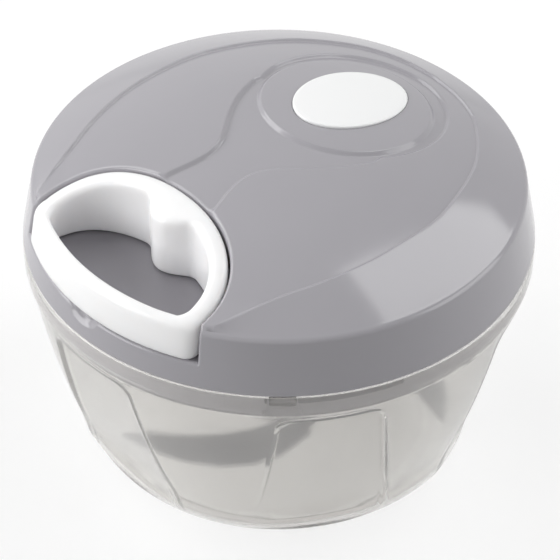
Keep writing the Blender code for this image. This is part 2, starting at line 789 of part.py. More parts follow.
def make_cover():
    """The domed lid: a thin shell with the handle's tub, five hanging bosses, and the badge's seat."""
    outside = lid_outline(0)
    inside = [(r, z) for r, z in lid_outline(-LID_WALL) if z > Z_SKIRT]
    inside.append((RIM_RADIUS - LID_WALL, Z_SKIRT))
    cover = turned("lid_cover", outside + inside[::-1], material=LID_GREY)
    body = lid_solid("lid_body", -EMBED, Z_SKIRT)
    under_skin = lid_solid("under_skin", EMBED - LID_WALL, Z_SKIRT)
    front = -RIM_RADIUS - OVERRUN
    tub = prism(
        "handle_tub",
        [arch_outline(RECESS_GAP + RECESS_WALL, front)],
        Z_RECESS - RECESS_WALL,
        Z_DOME_TOP,
        CUTTERS,
    )
    trim(tub, body)
    join(cover, tub)
    for k, azimuth in enumerate(SCREW_AZIMUTHS):
        about = screw_place(azimuth)
        boss = turned(
            f"screw_boss_{k + 1}",
            rod_profile(SCREW_RADIUS + SCREW_BOSS_WALL, Z_PLATE_TOP + GAP, Z_DOME_TOP),
            CUTTERS,
            segments=SMALL_SEGMENTS // 2,
            about=about,
        )
        trim(boss, under_skin)
        join(cover, boss)
    arbor_boss = turned(
        "arbor_boss",
        rod_profile(ARBOR_BOSS_RADIUS, Z_ARBOR_BOSS, Z_DOME_TOP - LID_WALL + EMBED),
        CUTTERS,
        segments=SMALL_SEGMENTS,
    )
    join(cover, arbor_boss)
    recess = prism(
        "recess",
        [arch_outline(RECESS_GAP, front)],
        Z_RECESS,
        Z_DOME_TOP + OVERRUN,
        CUTTERS,
    )
    cut(cover, recess)
    for k, azimuth in enumerate(SCREW_AZIMUTHS):
        cut(
            cover,
            turned(
                f"boss_hole_{k + 1}",
                rod_profile(
                    SCREW_RADIUS + GAP / 2,
                    Z_PLATE_TOP - OVERRUN,
                    Z_PLATE + SCREW_LENGTH + GAP,
                ),
                CUTTERS,
                segments=SMALL_SEGMENTS // 2,
                about=screw_place(azimuth),
            ),
        )
    arbor_hole = turned(
        "arbor_boss_hole",
        rod_profile(
            ARBOR_SCREW_RADIUS + GAP / 2,
            Z_ARBOR_BOSS - OVERRUN,
            Z_ARBOR_BOSS + ARBOR_SCREW_BITE + GAP,
        ),
        CUTTERS,
        segments=SMALL_SEGMENTS // 2,
    )
    seat = prism(
        "badge_seat",
        [badge_outline(GAP)],
        Z_CREASE,
        Z_DOME_TOP + OVERRUN,
        CUTTERS,
    )
    cut(seat, lid_solid("badge_floor", -BADGE_SEAT, Z_SKIRT))
    guide_hole = cord_bore(
        "guide_hole",
        CORD_RADIUS + GAP + GUIDE_WALL + GAP,
        RECESS_BACK_Y - OVERRUN,
        RECESS_WALL_Y + OVERRUN / 2,
    )
    scallop = make_scallop()
    return cut(cover, arbor_hole, seat, guide_hole, scallop)


def screw_place(azimuth):
    return (SCREW_CIRCLE_RADIUS * math.cos(azimuth), SCREW_CIRCLE_RADIUS * math.sin(azimuth))


def make_scallop():
    """A shallow finger scallop in the rim's ledge, as an egg-shaped cutter."""
    mesh = bpy.data.meshes.new("scallop")
    shape = bmesh.new()
    bmesh.ops.create_uvsphere(shape, u_segments=20, v_segments=12, radius=1)
    bmesh.ops.scale(
        shape,
        vec=(SCALLOP_HALF_WIDTH, SCALLOP_REACH, SCALLOP_DEPTH),
        verts=shape.verts,
    )
    shape.to_mesh(mesh)
    shape.free()
    obj = place(bpy.data.objects.new("scallop", mesh), CUTTERS)
    obj.location = (0, -RIM_RADIUS, Z_RECESS)
    return obj


def badge_outline(margin):
    outline = []
    for i in range(BADGE_POINTS):
        angle = 2 * math.pi * i / BADGE_POINTS
        x = (BADGE_HALF_WIDTH + margin) * math.cos(angle)
        outline.append((x, BADGE_Y + (BADGE_HALF_LENGTH + margin) * math.sin(angle)))
    return outline


def make_badge():
    badge = prism("badge", [badge_outline(0)], Z_CREASE, Z_DOME_TOP + OVERRUN, material=WHITE)
    trim(badge, lid_solid("badge_top", BADGE_PROUD, Z_SKIRT))
    return cut(badge, lid_solid("badge_under", GAP - BADGE_SEAT, Z_SKIRT))


def cord_bore(name, radius, low_y, high_y):
    """A rod along Y on the cord's line through the handle's back, as a cutter."""
    half = (high_y - low_y) / 2
    profile = rod_profile(radius, -half, half)
    obj = turned(name, profile, CUTTERS, segments=SMALL_SEGMENTS // 2)
    obj.rotation_euler = (math.pi / 2, 0, 0)
    obj.location = (0, (low_y + high_y) / 2, Z_CORD)
    return obj


def make_cord_guide():
    """A flanged bush in the tub's back wall, which the cord runs through."""
    bore = CORD_RADIUS + GAP
    body = bore + GUIDE_WALL
    inner_face = RECESS_WALL_Y + GAP + GUIDE_FLANGE_THICKNESS
    length = inner_face - RECESS_BACK_Y
    flange = GUIDE_FLANGE_THICKNESS
    profile = [
        (bore, length / 2),
        (body, length / 2),
        (body, flange - length / 2),
        (body + GUIDE_FLANGE, flange - length / 2),
        (body + GUIDE_FLANGE, -length / 2),
        (bore, -length / 2),
    ]
    guide = turned("cord_guide", profile, material=INNER_WHITE, segments=SMALL_SEGMENTS // 2)
    guide.rotation_euler = (math.pi / 2, 0, 0)
    guide.location = (0, (inner_face + RECESS_BACK_Y) / 2, Z_CORD)
    return guide


def make_handle():
    """The D-shaped pull, flush with the dome, with a boss at its back that holds the cord's knot."""
    front = -RIM_RADIUS - OVERRUN
    low = Z_RECESS + GAP
    handle = prism(
        "pull_handle",
        [arch_outline(0, front), finger_outline()],
        low,
        Z_DOME_TOP,
        material=WHITE,
    )
    trim(handle, lid_solid("handle_trim", HANDLE_PROUD, Z_RECESS - OVERRUN))
    cord_hole = cord_bore(
        "handle_cord_hole",
        CORD_RADIUS + GAP,
        HANDLE_BACK_Y - KNOT_SETBACK,
        HANDLE_BACK_Y + OVERRUN,
    )
    pocket = turned(
        "knot_pocket",
        rod_profile(KNOT_RADIUS + GAP, low - OVERRUN, Z_CORD + KNOT_RADIUS + GAP),
        CUTTERS,
        segments=SMALL_SEGMENTS,
        about=(0, HANDLE_BACK_Y - KNOT_SETBACK),
    )
    return cut(handle, cord_hole, pocket)


def make_knot():
    mesh = bpy.data.meshes.new("cord_knot")
    shape = bmesh.new()
    bmesh.ops.create_icosphere(shape, subdivisions=2, radius=KNOT_RADIUS)
    shape.to_mesh(mesh)
    shape.free()
    knot = finish(place(bpy.data.objects.new("cord_knot", mesh), PARTS, CORD_BRAID))
    knot.location = (0, HANDLE_BACK_Y - KNOT_SETBACK, Z_CORD)
    return knot


def make_base_plate():
    """The lid's floor, with the skirt that locks into the bowl and a flange over the seal."""
    hole = BUSH_RADIUS + GAP
    z_top = Z_SEAL_FLANGE + SEAL_FLANGE
    flange = skirt_radius(z_top) - LID_WALL - GAP
    profile = [
        (hole, Z_PLATE_TOP),
        (LOCK_BORE, Z_PLATE_TOP),
        (LOCK_BORE, z_top),
        (flange, z_top),
        (flange, Z_SEAL_FLANGE),
        (LOCK_RADIUS, Z_SEAL_FLANGE),
        (LOCK_RADIUS, Z_LOCK_FOOT),
        (LOCK_BORE, Z_LOCK_FOOT),
        (LOCK_BORE, Z_PLATE),
        (hole, Z_PLATE),
    ]
    plate = turned("lid_base_plate", profile, material=INNER_GREY)
    room = LUG_HALF_ANGLE + SLOT_SIDE_ANGLE
    mouth = LUG_HALF_ANGLE + SLOT_SIDE_ANGLE / 2
    inner, outer = LOCK_BORE - LUG_REACH, RIM_RADIUS
    for k in range(LUGS):
        azimuth = LUG_AZIMUTH + 2 * math.pi * k / LUGS
        entry = prism(
            f"lock_entry_{k + 1}",
            [sector(inner, outer, azimuth - mouth, azimuth + mouth)],
            Z_LOCK_FOOT - OVERRUN,
            Z_LUG + LUG_HEIGHT / 2,
            CUTTERS,
        )
        run = prism(
            f"lock_run_{k + 1}",
            [sector(inner, outer, azimuth - room, azimuth + LOCK_TURN + room, 6)],
            Z_LUG - GAP,
            Z_LUG + LUG_HEIGHT + GAP,
            CUTTERS,
        )
        cut(plate, entry, run)
    for k, azimuth in enumerate(SCREW_AZIMUTHS):
        cut(
            plate,
            turned(
                f"plate_hole_{k + 1}",
                rod_profile(SCREW_RADIUS + GAP, Z_PLATE - OVERRUN, Z_PLATE_TOP + OVERRUN),
                CUTTERS,
                segments=SMALL_SEGMENTS // 2,
                about=screw_place(azimuth),
            ),
        )
    tub_room = prism(
        "tub_room",
        [arch_outline(RECESS_GAP + RECESS_WALL + GAP, -RIM_RADIUS - OVERRUN)],
        Z_RECESS - RECESS_WALL - GAP,
        Z_DOME_TOP,
        CUTTERS,
    )
    return cut(plate, tub_room)


def make_screws():
    screws = []
    for k, azimuth in enumerate(SCREW_AZIMUTHS):
        head_top = Z_PLATE - GAP
        head_low = head_top - SCREW_HEAD_HEIGHT
        name = f"lid_screw_{k + 1}"
        screw = turned(
            name,
            [
                (0, Z_PLATE + SCREW_LENGTH),
                (SCREW_RADIUS, Z_PLATE + SCREW_LENGTH),
                (SCREW_RADIUS, head_top),
                (SCREW_HEAD_RADIUS, head_top),
                (SCREW_HEAD_RADIUS, head_low),
                (0, head_low),
            ],
            material=STEEL,
            segments=SMALL_SEGMENTS // 2,
            about=screw_place(azimuth),
        )
        slot = slot_cutter(f"{name}_slot", head_low)
        slot.location = (*screw_place(azimuth), 0)
        slot.rotation_euler = (0, 0, azimuth)
        screws.append(cut(screw, slot))
    return screws


def slot_cutter(name, z):
    """A screwdriver slot across a head whose lower face is at z."""
    half = SCREW_HEAD_RADIUS + OVERRUN / 2
    w = SCREW_SLOT_WIDTH / 2
    outline = [(-half, -w), (half, -w), (half, w), (-half, w)]
    return based(prism(name, [outline], z - SCREW_SLOT_DEPTH, z + SCREW_SLOT_DEPTH, CUTTERS))


def based(obj):
    """Moves an object's height into its mesh, so that its origin is at the origin of the part."""
    offset = obj.location.copy()
    for vertex in obj.data.vertices:
        vertex.co += offset
    obj.location = (0, 0, 0)
    return obj


def make_seal():
    inner = LOCK_RADIUS + GAP
    outer = skirt_radius(Z_SEAL_FLANGE) - LID_WALL - GAP
    profile = tube_profile(inner, outer, Z_SEAL, Z_SEAL + SEAL_HEIGHT)
    return turned("sealing_ring", profile, material=SEAL_RUBBER)


def make_hub_bush():
    profile = [
        (BUSH_BORE, Z_BUSH_FLANGE + BUSH_FLANGE_THICKNESS),
        (BUSH_FLANGE_RADIUS, Z_BUSH_FLANGE + BUSH_FLANGE_THICKNESS),
        (BUSH_FLANGE_RADIUS, Z_BUSH_FLANGE),
        (BUSH_RADIUS, Z_BUSH_FLANGE),
        (BUSH_RADIUS, Z_PLATE - BUSH_DROP),
        (BUSH_BORE, Z_PLATE - BUSH_DROP),
    ]
    return turned("hub_bush", profile, material=INNER_WHITE, segments=SMALL_SEGMENTS)


def ratchet_outline():
    points = []
    pitch = 2 * math.pi / RATCHET_TEETH
    for k in range(RATCHET_TEETH):
        foot = PAWL_FIRST_AZIMUTH + k * pitch
        for share in (0, 1 / 2):
            r = RATCHET_TIP_RADIUS + (RATCHET_ROOT_RADIUS - RATCHET_TIP_RADIUS) * share
            points.append((r * math.cos(foot + pitch * share), r * math.sin(foot + pitch * share)))
        near = foot + pitch
        r = RATCHET_ROOT_RADIUS
        points.append((r * math.cos(near), r * math.sin(near)))
    return points


def dog(name, inner, outer, centre, low, high):
    return prism(
        name,
        [sector(inner, outer, centre - DOG_HALF_ANGLE, centre + DOG_HALF_ANGLE)],
        low,
        high,
        CUTTERS,
    )


def make_drive_hub():
    """The ratchet wheel, whose hollow stem takes the blade shaft's head."""
    hub = prism("drive_hub", [ratchet_outline()], Z_HUB, Z_HUB_TOP, material=INNER_WHITE)
    socket_top = Z_SHAFT_TOP + GAP
    stem = turned(
        "hub_stem",
        rod_profile(HUB_RADIUS, Z_HUB_FOOT, Z_HUB + EMBED),
        CUTTERS,
        segments=SMALL_SEGMENTS,
    )
    socket = turned(
        "hub_socket",
        rod_profile(SOCKET_RADIUS, Z_HUB_FOOT - OVERRUN, socket_top),
        CUTTERS,
        segments=SMALL_SEGMENTS,
    )
    join(hub, stem)
    cut(hub, socket)
    lag = 2 * DOG_HALF_ANGLE + DOG_LEAD_ANGLE
    for k in range(DOGS):
        centre = 2 * math.pi * k / DOGS - lag
        join(
            hub,
            dog(
                f"hub_dog_{k + 1}",
                SOCKET_RADIUS - DOG_BITE,
                SOCKET_RADIUS + HUB_WALL / 2,
                centre,
                Z_HUB_FOOT + EMBED,
                socket_top + EMBED,
            ),
        )
    head_room = turned(
        "washer_room",
        rod_profile(
            WASHER_RADIUS + 2 * GAP,
            Z_WASHER - SCREW_HEAD_HEIGHT - 2 * GAP,
            Z_HUB_TOP + OVERRUN,
        ),
        CUTTERS,
        segments=SMALL_SEGMENTS,
    )
    return cut(hub, head_room)


def make_reel():
    """The cord drum, open above for the spring, with three pins below for the pawls."""
    bore = ARBOR_RADIUS + GAP
    profile = [
        (bore, Z_DRUM),
        (DRUM_BORE, Z_DRUM),
        (DRUM_BORE, Z_DRUM_TOP),
        (DRUM_RADIUS, Z_DRUM_TOP),
        (DRUM_RADIUS, Z_DRUM),
        (REEL_RADIUS, Z_DRUM),
        (REEL_RADIUS, Z_REEL),
        (bore, Z_REEL),
    ]
    reel = turned("reel_drum", profile, material=INNER_WHITE, segments=REEL_SEGMENTS)
    for k in range(PAWLS):
        pin = turned(
            f"pawl_pin_{k + 1}",
            rod_profile(PAWL_PIN_RADIUS, Z_HUB, Z_REEL + EMBED),
            CUTTERS,
            segments=SMALL_SEGMENTS // 2,
            about=pawl_pivot(k),
        )
        join(reel, pin)
    slot = based(
        prism(
            "spring_slot",
            [spring_slot_outline()],
            Z_DRUM + GAP / 2,
            Z_DRUM_TOP + OVERRUN,
            CUTTERS,
        )
    )
    return cut(reel, slot)


def make_reel_cap():
    spigot = DRUM_BORE - GAP
    profile = [
        (ARBOR_RADIUS + GAP, Z_CAP_TOP),
        (REEL_RADIUS, Z_CAP_TOP),
        (REEL_RADIUS, Z_CAP),
        (spigot, Z_CAP),
        (spigot, Z_CAP - REEL_CAP_SPIGOT),
        (spigot - CAP_SPIGOT_WALL, Z_CAP - REEL_CAP_SPIGOT),
        (spigot - CAP_SPIGOT_WALL, Z_CAP),
        (ARBOR_RADIUS + GAP, Z_CAP),
    ]
    return turned("reel_cap", profile, material=INNER_WHITE, segments=REEL_SEGMENTS)


def make_arbor():
    """The hollow post under the dome that the reel turns on, slotted for the spring's inner end."""
    bore = ARBOR_SCREW_RADIUS + GAP
    profile = [
        (bore, Z_ARBOR_TOP),
        (ARBOR_RADIUS + ARBOR_FLANGE, Z_ARBOR_TOP),
        (ARBOR_RADIUS + ARBOR_FLANGE, Z_ARBOR_TOP - ARBOR_FLANGE_THICKNESS),
        (ARBOR_RADIUS, Z_ARBOR_TOP - ARBOR_FLANGE_THICKNESS),
        (ARBOR_RADIUS, Z_REEL),
        (bore, Z_REEL),
    ]
    arbor = turned("reel_arbor", profile, material=STEEL, segments=SMALL_SEGMENTS)
    inner = (ARBOR_RADIUS + bore) / 2 - GAP
    half = ARBOR_SLOT / 2
    outline = [
        (inner, -half),
        (ARBOR_RADIUS + OVERRUN, -half),
        (ARBOR_RADIUS + OVERRUN, half),
        (inner, half),
    ]
    slot = prism("arbor_slot", [outline], Z_DRUM, Z_CAP - REEL_CAP_SPIGOT, CUTTERS)
    return cut(arbor, slot)


def make_arbor_washer():
    profile = tube_profile(
        ARBOR_SCREW_RADIUS + GAP, WASHER_RADIUS, Z_WASHER, Z_WASHER + WASHER_THICKNESS
    )
    return turned("arbor_washer", profile, material=STEEL, segments=SMALL_SEGMENTS)


def make_arbor_screw():
    head_top = Z_WASHER - GAP
    head_low = head_top - SCREW_HEAD_HEIGHT
    screw = turned(
        "arbor_screw",
        [
            (0, Z_ARBOR_BOSS + ARBOR_SCREW_BITE),
            (ARBOR_SCREW_RADIUS, Z_ARBOR_BOSS + ARBOR_SCREW_BITE),
            (ARBOR_SCREW_RADIUS, head_top),
            (SCREW_HEAD_RADIUS, head_top),
            (SCREW_HEAD_RADIUS, head_low),
            (0, head_low),
        ],
        material=STEEL,
        segments=SMALL_SEGMENTS // 2,
    )
    return cut(screw, slot_cutter("arbor_screw_slot", head_low))


def spring_path():
    """The clock spring's middle line: from a straight end in the arbor's slot out to a hook in the drum."""
    first = ARBOR_RADIUS + SPRING_STRIP + GAP
    last = DRUM_BORE - SPRING_STRIP - GAP
    count = SPRING_TURNS * SPRING_TURN_POINTS
    points = [(ARBOR_RADIUS - GAP, 0)]
    for i in range(count + 1):
        angle = 2 * math.pi * i / SPRING_TURN_POINTS
        r = first + (last - first) * i / count
        points.append((r * math.cos(angle), r * math.sin(angle)))
    return points


def thickened(points, width):
    """The outline of a strip of the given width along a line of points."""
    left, right = [], []
    for i, (x, y) in enumerate(points):
        before = points[max(i - 1, 0)]
        after = points[min(i + 1, len(points) - 1)]
        dx, dy = after[0] - before[0], after[1] - before[1]
        length = math.hypot(dx, dy)
        nx, ny = -dy / length * width / 2, dx / length * width / 2
        left.append((x + nx, y + ny))
        right.append((x - nx, y - ny))
    return left + right[::-1]


def spring_hook():
    """The spring's outer end, bent out through the drum's inner face."""
    last = DRUM_BORE - SPRING_STRIP - GAP
    return [(last, 0), (DRUM_BORE + DRUM_WALL / 3, DRUM_WALL)]


def spring_slot_outline():
    """The slot in the drum's inner face that the hook sits in, with a gap all round."""
    (x0, y0), (x1, y1) = spring_hook()
    length = math.hypot(x1 - x0, y1 - y0)
    ux, uy = (x1 - x0) * GAP / length, (y1 - y0) * GAP / length
    line = [(x0 - 2 * ux, y0 - 2 * uy), (x1 + ux, y1 + uy)]
    return thickened(line, SPRING_STRIP + 2 * GAP)


def make_spring():
    room = Z_DRUM_TOP - Z_DRUM - REEL_CAP_SPIGOT
    height = room * SPRING_HEIGHT_SHARE
    low = Z_DRUM + (room - height) / 2
    points = spring_path() + spring_hook()[1:]
    print("spiral_spring: gap between turns", round(turn_gap() * 1000, 2), "mm")
    return prism(
        "spiral_spring", [thickened(points, SPRING_STRIP)], low, low + height, material=STEEL
    )


def turn_gap():
    first = ARBOR_RADIUS + SPRING_STRIP + GAP
    last = DRUM_BORE - SPRING_STRIP - GAP
    return (last - first) / SPRING_TURNS - SPRING_STRIP


def leave_azimuth():
    """Where the cord leaves the winding, on the tangent to the guide, for a reel that turns anticlockwise."""
    return math.pi + math.asin(WINDING_RADIUS / -cord_bend_y())


def cord_bend_y():
    return RECESS_WALL_Y + GAP + GUIDE_FLANGE_THICKNESS + CORD_RADIUS + GAP


def leave_point():
    azimuth = leave_azimuth()
    return (WINDING_RADIUS * math.cos(azimuth), WINDING_RADIUS * math.sin(azimuth), Z_CORD)


def make_winding():
    """The cord on the drum: one helix, one layer deep, from under the cap down to where it leaves."""
    rise = Z_DRUM_TOP - Z_DRUM - 2 * (GAP + CORD_RADIUS)
    count = CORD_TURNS * TURN_POINTS
    z = leave_point()[2]
    points = []
    for i in range(count + 1):
        angle = leave_azimuth() - 2 * math.pi * i / TURN_POINTS
        points.append(
            (
                WINDING_RADIUS * math.cos(angle),
                WINDING_RADIUS * math.sin(angle),
                z + rise * i / count,
            )
        )
    gap = rise / CORD_TURNS - 2 * CORD_RADIUS
    print("cord_winding: gap between turns", round(gap * 1000, 2), "mm")
    return sweep("cord_winding", points, CORD_RADIUS, CORD_SIDES_STEPS, material=CORD_BRAID)


def make_pull_cord():
    """The cord from the winding, through the guide and the handle's back, to the knot."""
    x, y, z = leave_point()
    bend = cord_bend_y()
    run = (-x, bend - y, Z_CORD - z)
    length = math.sqrt(sum(c * c for c in run))
    start = [p + c * GAP / length for p, c in zip((x, y, z), run)]
    end = HANDLE_BACK_Y - KNOT_SETBACK + KNOT_RADIUS + GAP
    points = [tuple(start), (0, bend, Z_CORD), (0, end, Z_CORD)]
    return sweep("pull_cord", points, CORD_RADIUS, 2, material=CORD_BRAID)


def pawl_tip_azimuth(k):
    return PAWL_FIRST_AZIMUTH + 2 * math.pi * k / PAWLS


def pawl_pivot(k):
    azimuth = pawl_tip_azimuth(k) - PAWL_SWEEP
    return (DRUM_RADIUS * math.cos(azimuth), DRUM_RADIUS * math.sin(azimuth))


def make_pawl(k):
    """A pawl that pushes a tooth's steep face as the reel unwinds, and rides over the teeth in rewinding."""
    px, py = pawl_pivot(k)
    eye = PAWL_PIN_RADIUS + GAP + PAWL_WALL
    nose = pawl_tip_azimuth(k) - GAP / RATCHET_ROOT_RADIUS * PAWL_NOSE_GAPS
    low_r = RATCHET_ROOT_RADIUS + PAWL_LIFT
    high_r = RATCHET_TIP_RADIUS + PAWL_LIFT
    low = (low_r * math.cos(nose), low_r * math.sin(nose))
    high = (high_r * math.cos(nose), high_r * math.sin(nose))
    middle = ((low[0] + high[0]) / 2 - px, (low[1] + high[1]) / 2 - py)
    length = math.hypot(*middle)
    ux, uy = middle[0] / length, middle[1] / length
    # The eye is drawn from its inner shoulder, the long way round, to its outer one.
    steps = 10
    start = math.atan2(uy, ux) + math.pi / 2
    angles = [start + math.pi * i / steps for i in range(steps + 1)]
    arc = [(px + eye * math.cos(a), py + eye * math.sin(a)) for a in angles]
    outline = arc + [high, low]
    hole = circle(PAWL_PIN_RADIUS + GAP, SMALL_SEGMENTS // 2, (px, py))
    low_z, high_z = Z_HUB + GAP, Z_REEL - GAP
    return prism(f"clutch_pawl_{k + 1}", [outline, hole], low_z, high_z, material=STEEL)


def hexagon(radius):
    return circle(radius, 6)


def make_blade_shaft():
    """The six-sided core of the blade stack, bored for the bowl's pin, on a round foot collar."""
    top = Z_HEAD_BORE - GAP
    low = Z_SHAFT_FOOT + EMBED
    shaft = prism("blade_shaft", [hexagon(SHAFT_CORE_RADIUS)], low, top, material=STEEL)
    collar = turned(
        "shaft_collar",
        rod_profile(SHAFT_COLLAR_RADIUS, Z_SHAFT_FOOT, BLADE_HEIGHTS[0] - GAP),
        CUTTERS,
        segments=SMALL_SEGMENTS,
    )
    bore = turned(
        "shaft_bore",
        rod_profile(SHAFT_BORE, Z_SHAFT_FOOT - OVERRUN, Z_PIN_TOP + GAP),
        CUTTERS,
        segments=SMALL_SEGMENTS,
    )
    return cut(join(shaft, collar), bore)


def blade_tip_radius(z):
    """As far as a blade reaches at a height and still clears the bowl's panels."""
    outer = bowl_radius(z)
    flat = outer * math.cos(math.asin(PANEL_HALF_WIDTH / outer)) - PANEL_STEP
    return flat - BOWL_WALL - BLADE_WALL_CLEARANCE


def make_blade(name, k):
    """A flat sickle on a round eye, its convex edge leading and its tip trailing."""
    z = BLADE_HEIGHTS[k]
    tip = BLADE_TIP_AZIMUTHS[k]
    reach = blade_tip_radius(z)

    def at(degrees, share):
        angle = tip + math.radians(degrees)
        r = max(reach * share, SHAFT_COLLAR_RADIUS)
        return (r * math.cos(angle), r * math.sin(angle))

    outer = [at(*point) for point in BLADE_OUTER_SHARES]
    inner = [at(*point) for point in BLADE_INNER_SHARES]
    begin = tip + math.radians(BLADE_EYE_START)
    end = tip + math.radians(BLADE_EYE_END) + 2 * math.pi
    steps = 16
    eye = []
    for i in range(steps + 1):
        angle = begin + (end - begin) * i / steps
        eye.append((SHAFT_COLLAR_RADIUS * math.cos(angle), SHAFT_COLLAR_RADIUS * math.sin(angle)))
    outline = outer + eye + inner[::-1]
    hole = hexagon(SHAFT_CORE_RADIUS + GAP)
    return prism(name, [outline, hole], z, z + BLADE_THICKNESS, material=STEEL)


def make_spacer(name, low, high):
    return turned(
        name,
        tube_profile(SPACER_BORE, SHAFT_COLLAR_RADIUS, low + GAP, high - GAP),
        material=INNER_WHITE,
        segments=SMALL_SEGMENTS,
    )


def make_drive_head():
    """The sleeve over the shaft's top, with the two dogs that the hub turns."""
    low = BLADE_HEIGHTS[2] + BLADE_THICKNESS + GAP
    head = turned(
        "drive_head",
        [
            (0, Z_SHAFT_TOP),
            (SHAFT_HEAD_CORE, Z_SHAFT_TOP),
            (SHAFT_HEAD_CORE, Z_SHAFT_SHOULDER),
            (HUB_RADIUS, Z_SHAFT_SHOULDER),
            (SHAFT_COLLAR_RADIUS, low),
            (0, low),
        ],
        material=INNER_WHITE,
        segments=SMALL_SEGMENTS,
    )
    for k in range(DOGS):
        join(
            head,
            dog(
                f"head_dog_{k + 1}",
                SHAFT_HEAD_CORE - EMBED,
                SHAFT_HEAD_RADIUS,
                2 * math.pi * k / DOGS,
                Z_SHAFT_SHOULDER - EMBED,
                Z_SHAFT_TOP - EMBED,
            ),
        )
    bore = turned(
        "head_bore",
        rod_profile(SPACER_BORE, low - OVERRUN, Z_HEAD_BORE),
        CUTTERS,
        segments=SMALL_SEGMENTS,
    )
    return cut(head, bore)


def axis_empty(name, location, children):
    """An empty on a joint's axis, which carries the pieces that move on it."""
    empty = bpy.data.objects.new(name, None)
    PARTS.objects.link(empty)
    empty.location = location
    bpy.context.view_layer.update()
    for child in children:
        child.parent = empty
        child.matrix_parent_inverse = empty.matrix_world.inverted()
    return empty


bowl = make_bowl()
centre_pin = make_centre_pin()
sealing_ring = make_seal()
cover = make_cover()
badge = make_badge()
base_plate = make_base_plate()
cord_guide = make_cord_guide()
screws = make_screws()
hub_bush = make_hub_bush()
arbor = make_arbor()
arbor_washer = make_arbor_washer()
arbor_screw = make_arbor_screw()
spring = make_spring()
drive_hub = make_drive_hub()
reel = make_reel()
reel_cap = make_reel_cap()
winding = make_winding()
pawls = [make_pawl(k) for k in range(PAWLS)]
handle = make_handle()
knot = make_knot()
pull_cord = make_pull_cord()
shaft = make_blade_shaft()
blade_names = ("blade_lower", "blade_middle", "blade_upper")
blades = [make_blade(name, k) for k, name in enumerate(blade_names)]
low, middle, high = BLADE_HEIGHTS
lower_spacer = make_spacer("blade_spacer_1", low + BLADE_THICKNESS, middle)
upper_spacer = make_spacer("blade_spacer_2", middle + BLADE_THICKNESS, high)
drive_head = make_drive_head()

stack = [shaft, *blades, lower_spacer, upper_spacer, drive_head]
axis_empty("blade_axis", (0, 0, Z_SHAFT_FOOT), stack)
axis_empty("seal_lift", (0, 0, Z_STEP), [sealing_ring])
lid_pieces = [cover, badge, base_plate, cord_guide, *screws, hub_bush]
lid_pieces += [arbor, arbor_washer, arbor_screw, spring]
axis_empty("lid_axis", (0, 0, Z_STEP), lid_pieces)
axis_empty("hub_axis", (0, 0, Z_HUB), [drive_hub])
axis_empty("reel_axis", (0, 0, Z_REEL), [reel, reel_cap, winding])
for k, pawl in enumerate(pawls):
    axis_empty(f"pawl_axis_{k + 1}", (*pawl_pivot(k), Z_REEL), [pawl])
axis_empty("handle_slide", (0, HANDLE_BACK_Y, Z_CORD), [handle, knot, pull_cord])
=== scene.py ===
"""The looks of a hand-pulled food chopper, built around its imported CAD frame.

Metres, +Z up, in the frame of the CAD: the bowl's foot is at the origin, the pull handle is at -Y and
the badge at +Y. Each visible shell is modelled afresh over its CAD node and rides on its CAD body.
"""

import math

import bmesh
import bpy
import numpy as np
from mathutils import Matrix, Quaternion, Vector
from mathutils.geometry import delaunay_2d_cdt


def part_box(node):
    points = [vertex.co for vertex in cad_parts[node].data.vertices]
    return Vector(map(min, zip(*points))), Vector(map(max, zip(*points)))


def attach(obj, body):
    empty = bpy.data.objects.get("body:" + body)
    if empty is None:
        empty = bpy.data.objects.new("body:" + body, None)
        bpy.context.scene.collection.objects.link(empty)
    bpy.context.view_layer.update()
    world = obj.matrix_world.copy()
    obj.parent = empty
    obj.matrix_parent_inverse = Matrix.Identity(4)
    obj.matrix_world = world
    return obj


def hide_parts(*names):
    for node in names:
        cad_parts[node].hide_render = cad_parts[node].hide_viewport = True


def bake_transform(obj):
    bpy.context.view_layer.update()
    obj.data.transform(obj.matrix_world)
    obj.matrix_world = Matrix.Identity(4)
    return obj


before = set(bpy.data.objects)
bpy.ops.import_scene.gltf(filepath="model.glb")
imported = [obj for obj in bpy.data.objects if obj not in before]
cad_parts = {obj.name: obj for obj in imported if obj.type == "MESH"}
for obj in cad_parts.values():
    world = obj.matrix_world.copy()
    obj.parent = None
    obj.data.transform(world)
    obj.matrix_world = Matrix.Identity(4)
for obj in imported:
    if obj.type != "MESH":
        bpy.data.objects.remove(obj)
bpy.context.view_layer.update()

# Camera, with the lens and sensor in millimetres

CAMERA_AZIMUTH = math.radians(-42.0)
CAMERA_ELEVATION = math.radians(40.9)
CAMERA_DISTANCE = 0.780
CAMERA_LENS = 194.1
SENSOR_WIDTH = 36.0
CLIP_START = 0.01
CAMERA_TARGET = Vector((0.0, 0.0, 0.046))
CAMERA_SHIFT_RIGHT = 0.0003
CAMERA_ROLL = math.radians(0.3)

# Lid, as in the CAD

RIM_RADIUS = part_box("lid_cover")[1].x
Z_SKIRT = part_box("lid_cover")[0].z
SKIRT_HEIGHT = 0.0153
SKIRT_FLARE = 0.0028
DOME_RISE = 0.0146
LID_WALL = 0.0020
CREASE_SIZE = 0.0010
Z_CREASE = Z_SKIRT + SKIRT_HEIGHT
CREASE_RADIUS = RIM_RADIUS - SKIRT_FLARE
LEDGE_HEIGHT = 0.0067
Z_RECESS = Z_SKIRT + LEDGE_HEIGHT
FOOT_ROUND = 0.0005
INNER_BAND = 0.0060

# Handle and its recess, as in the CAD

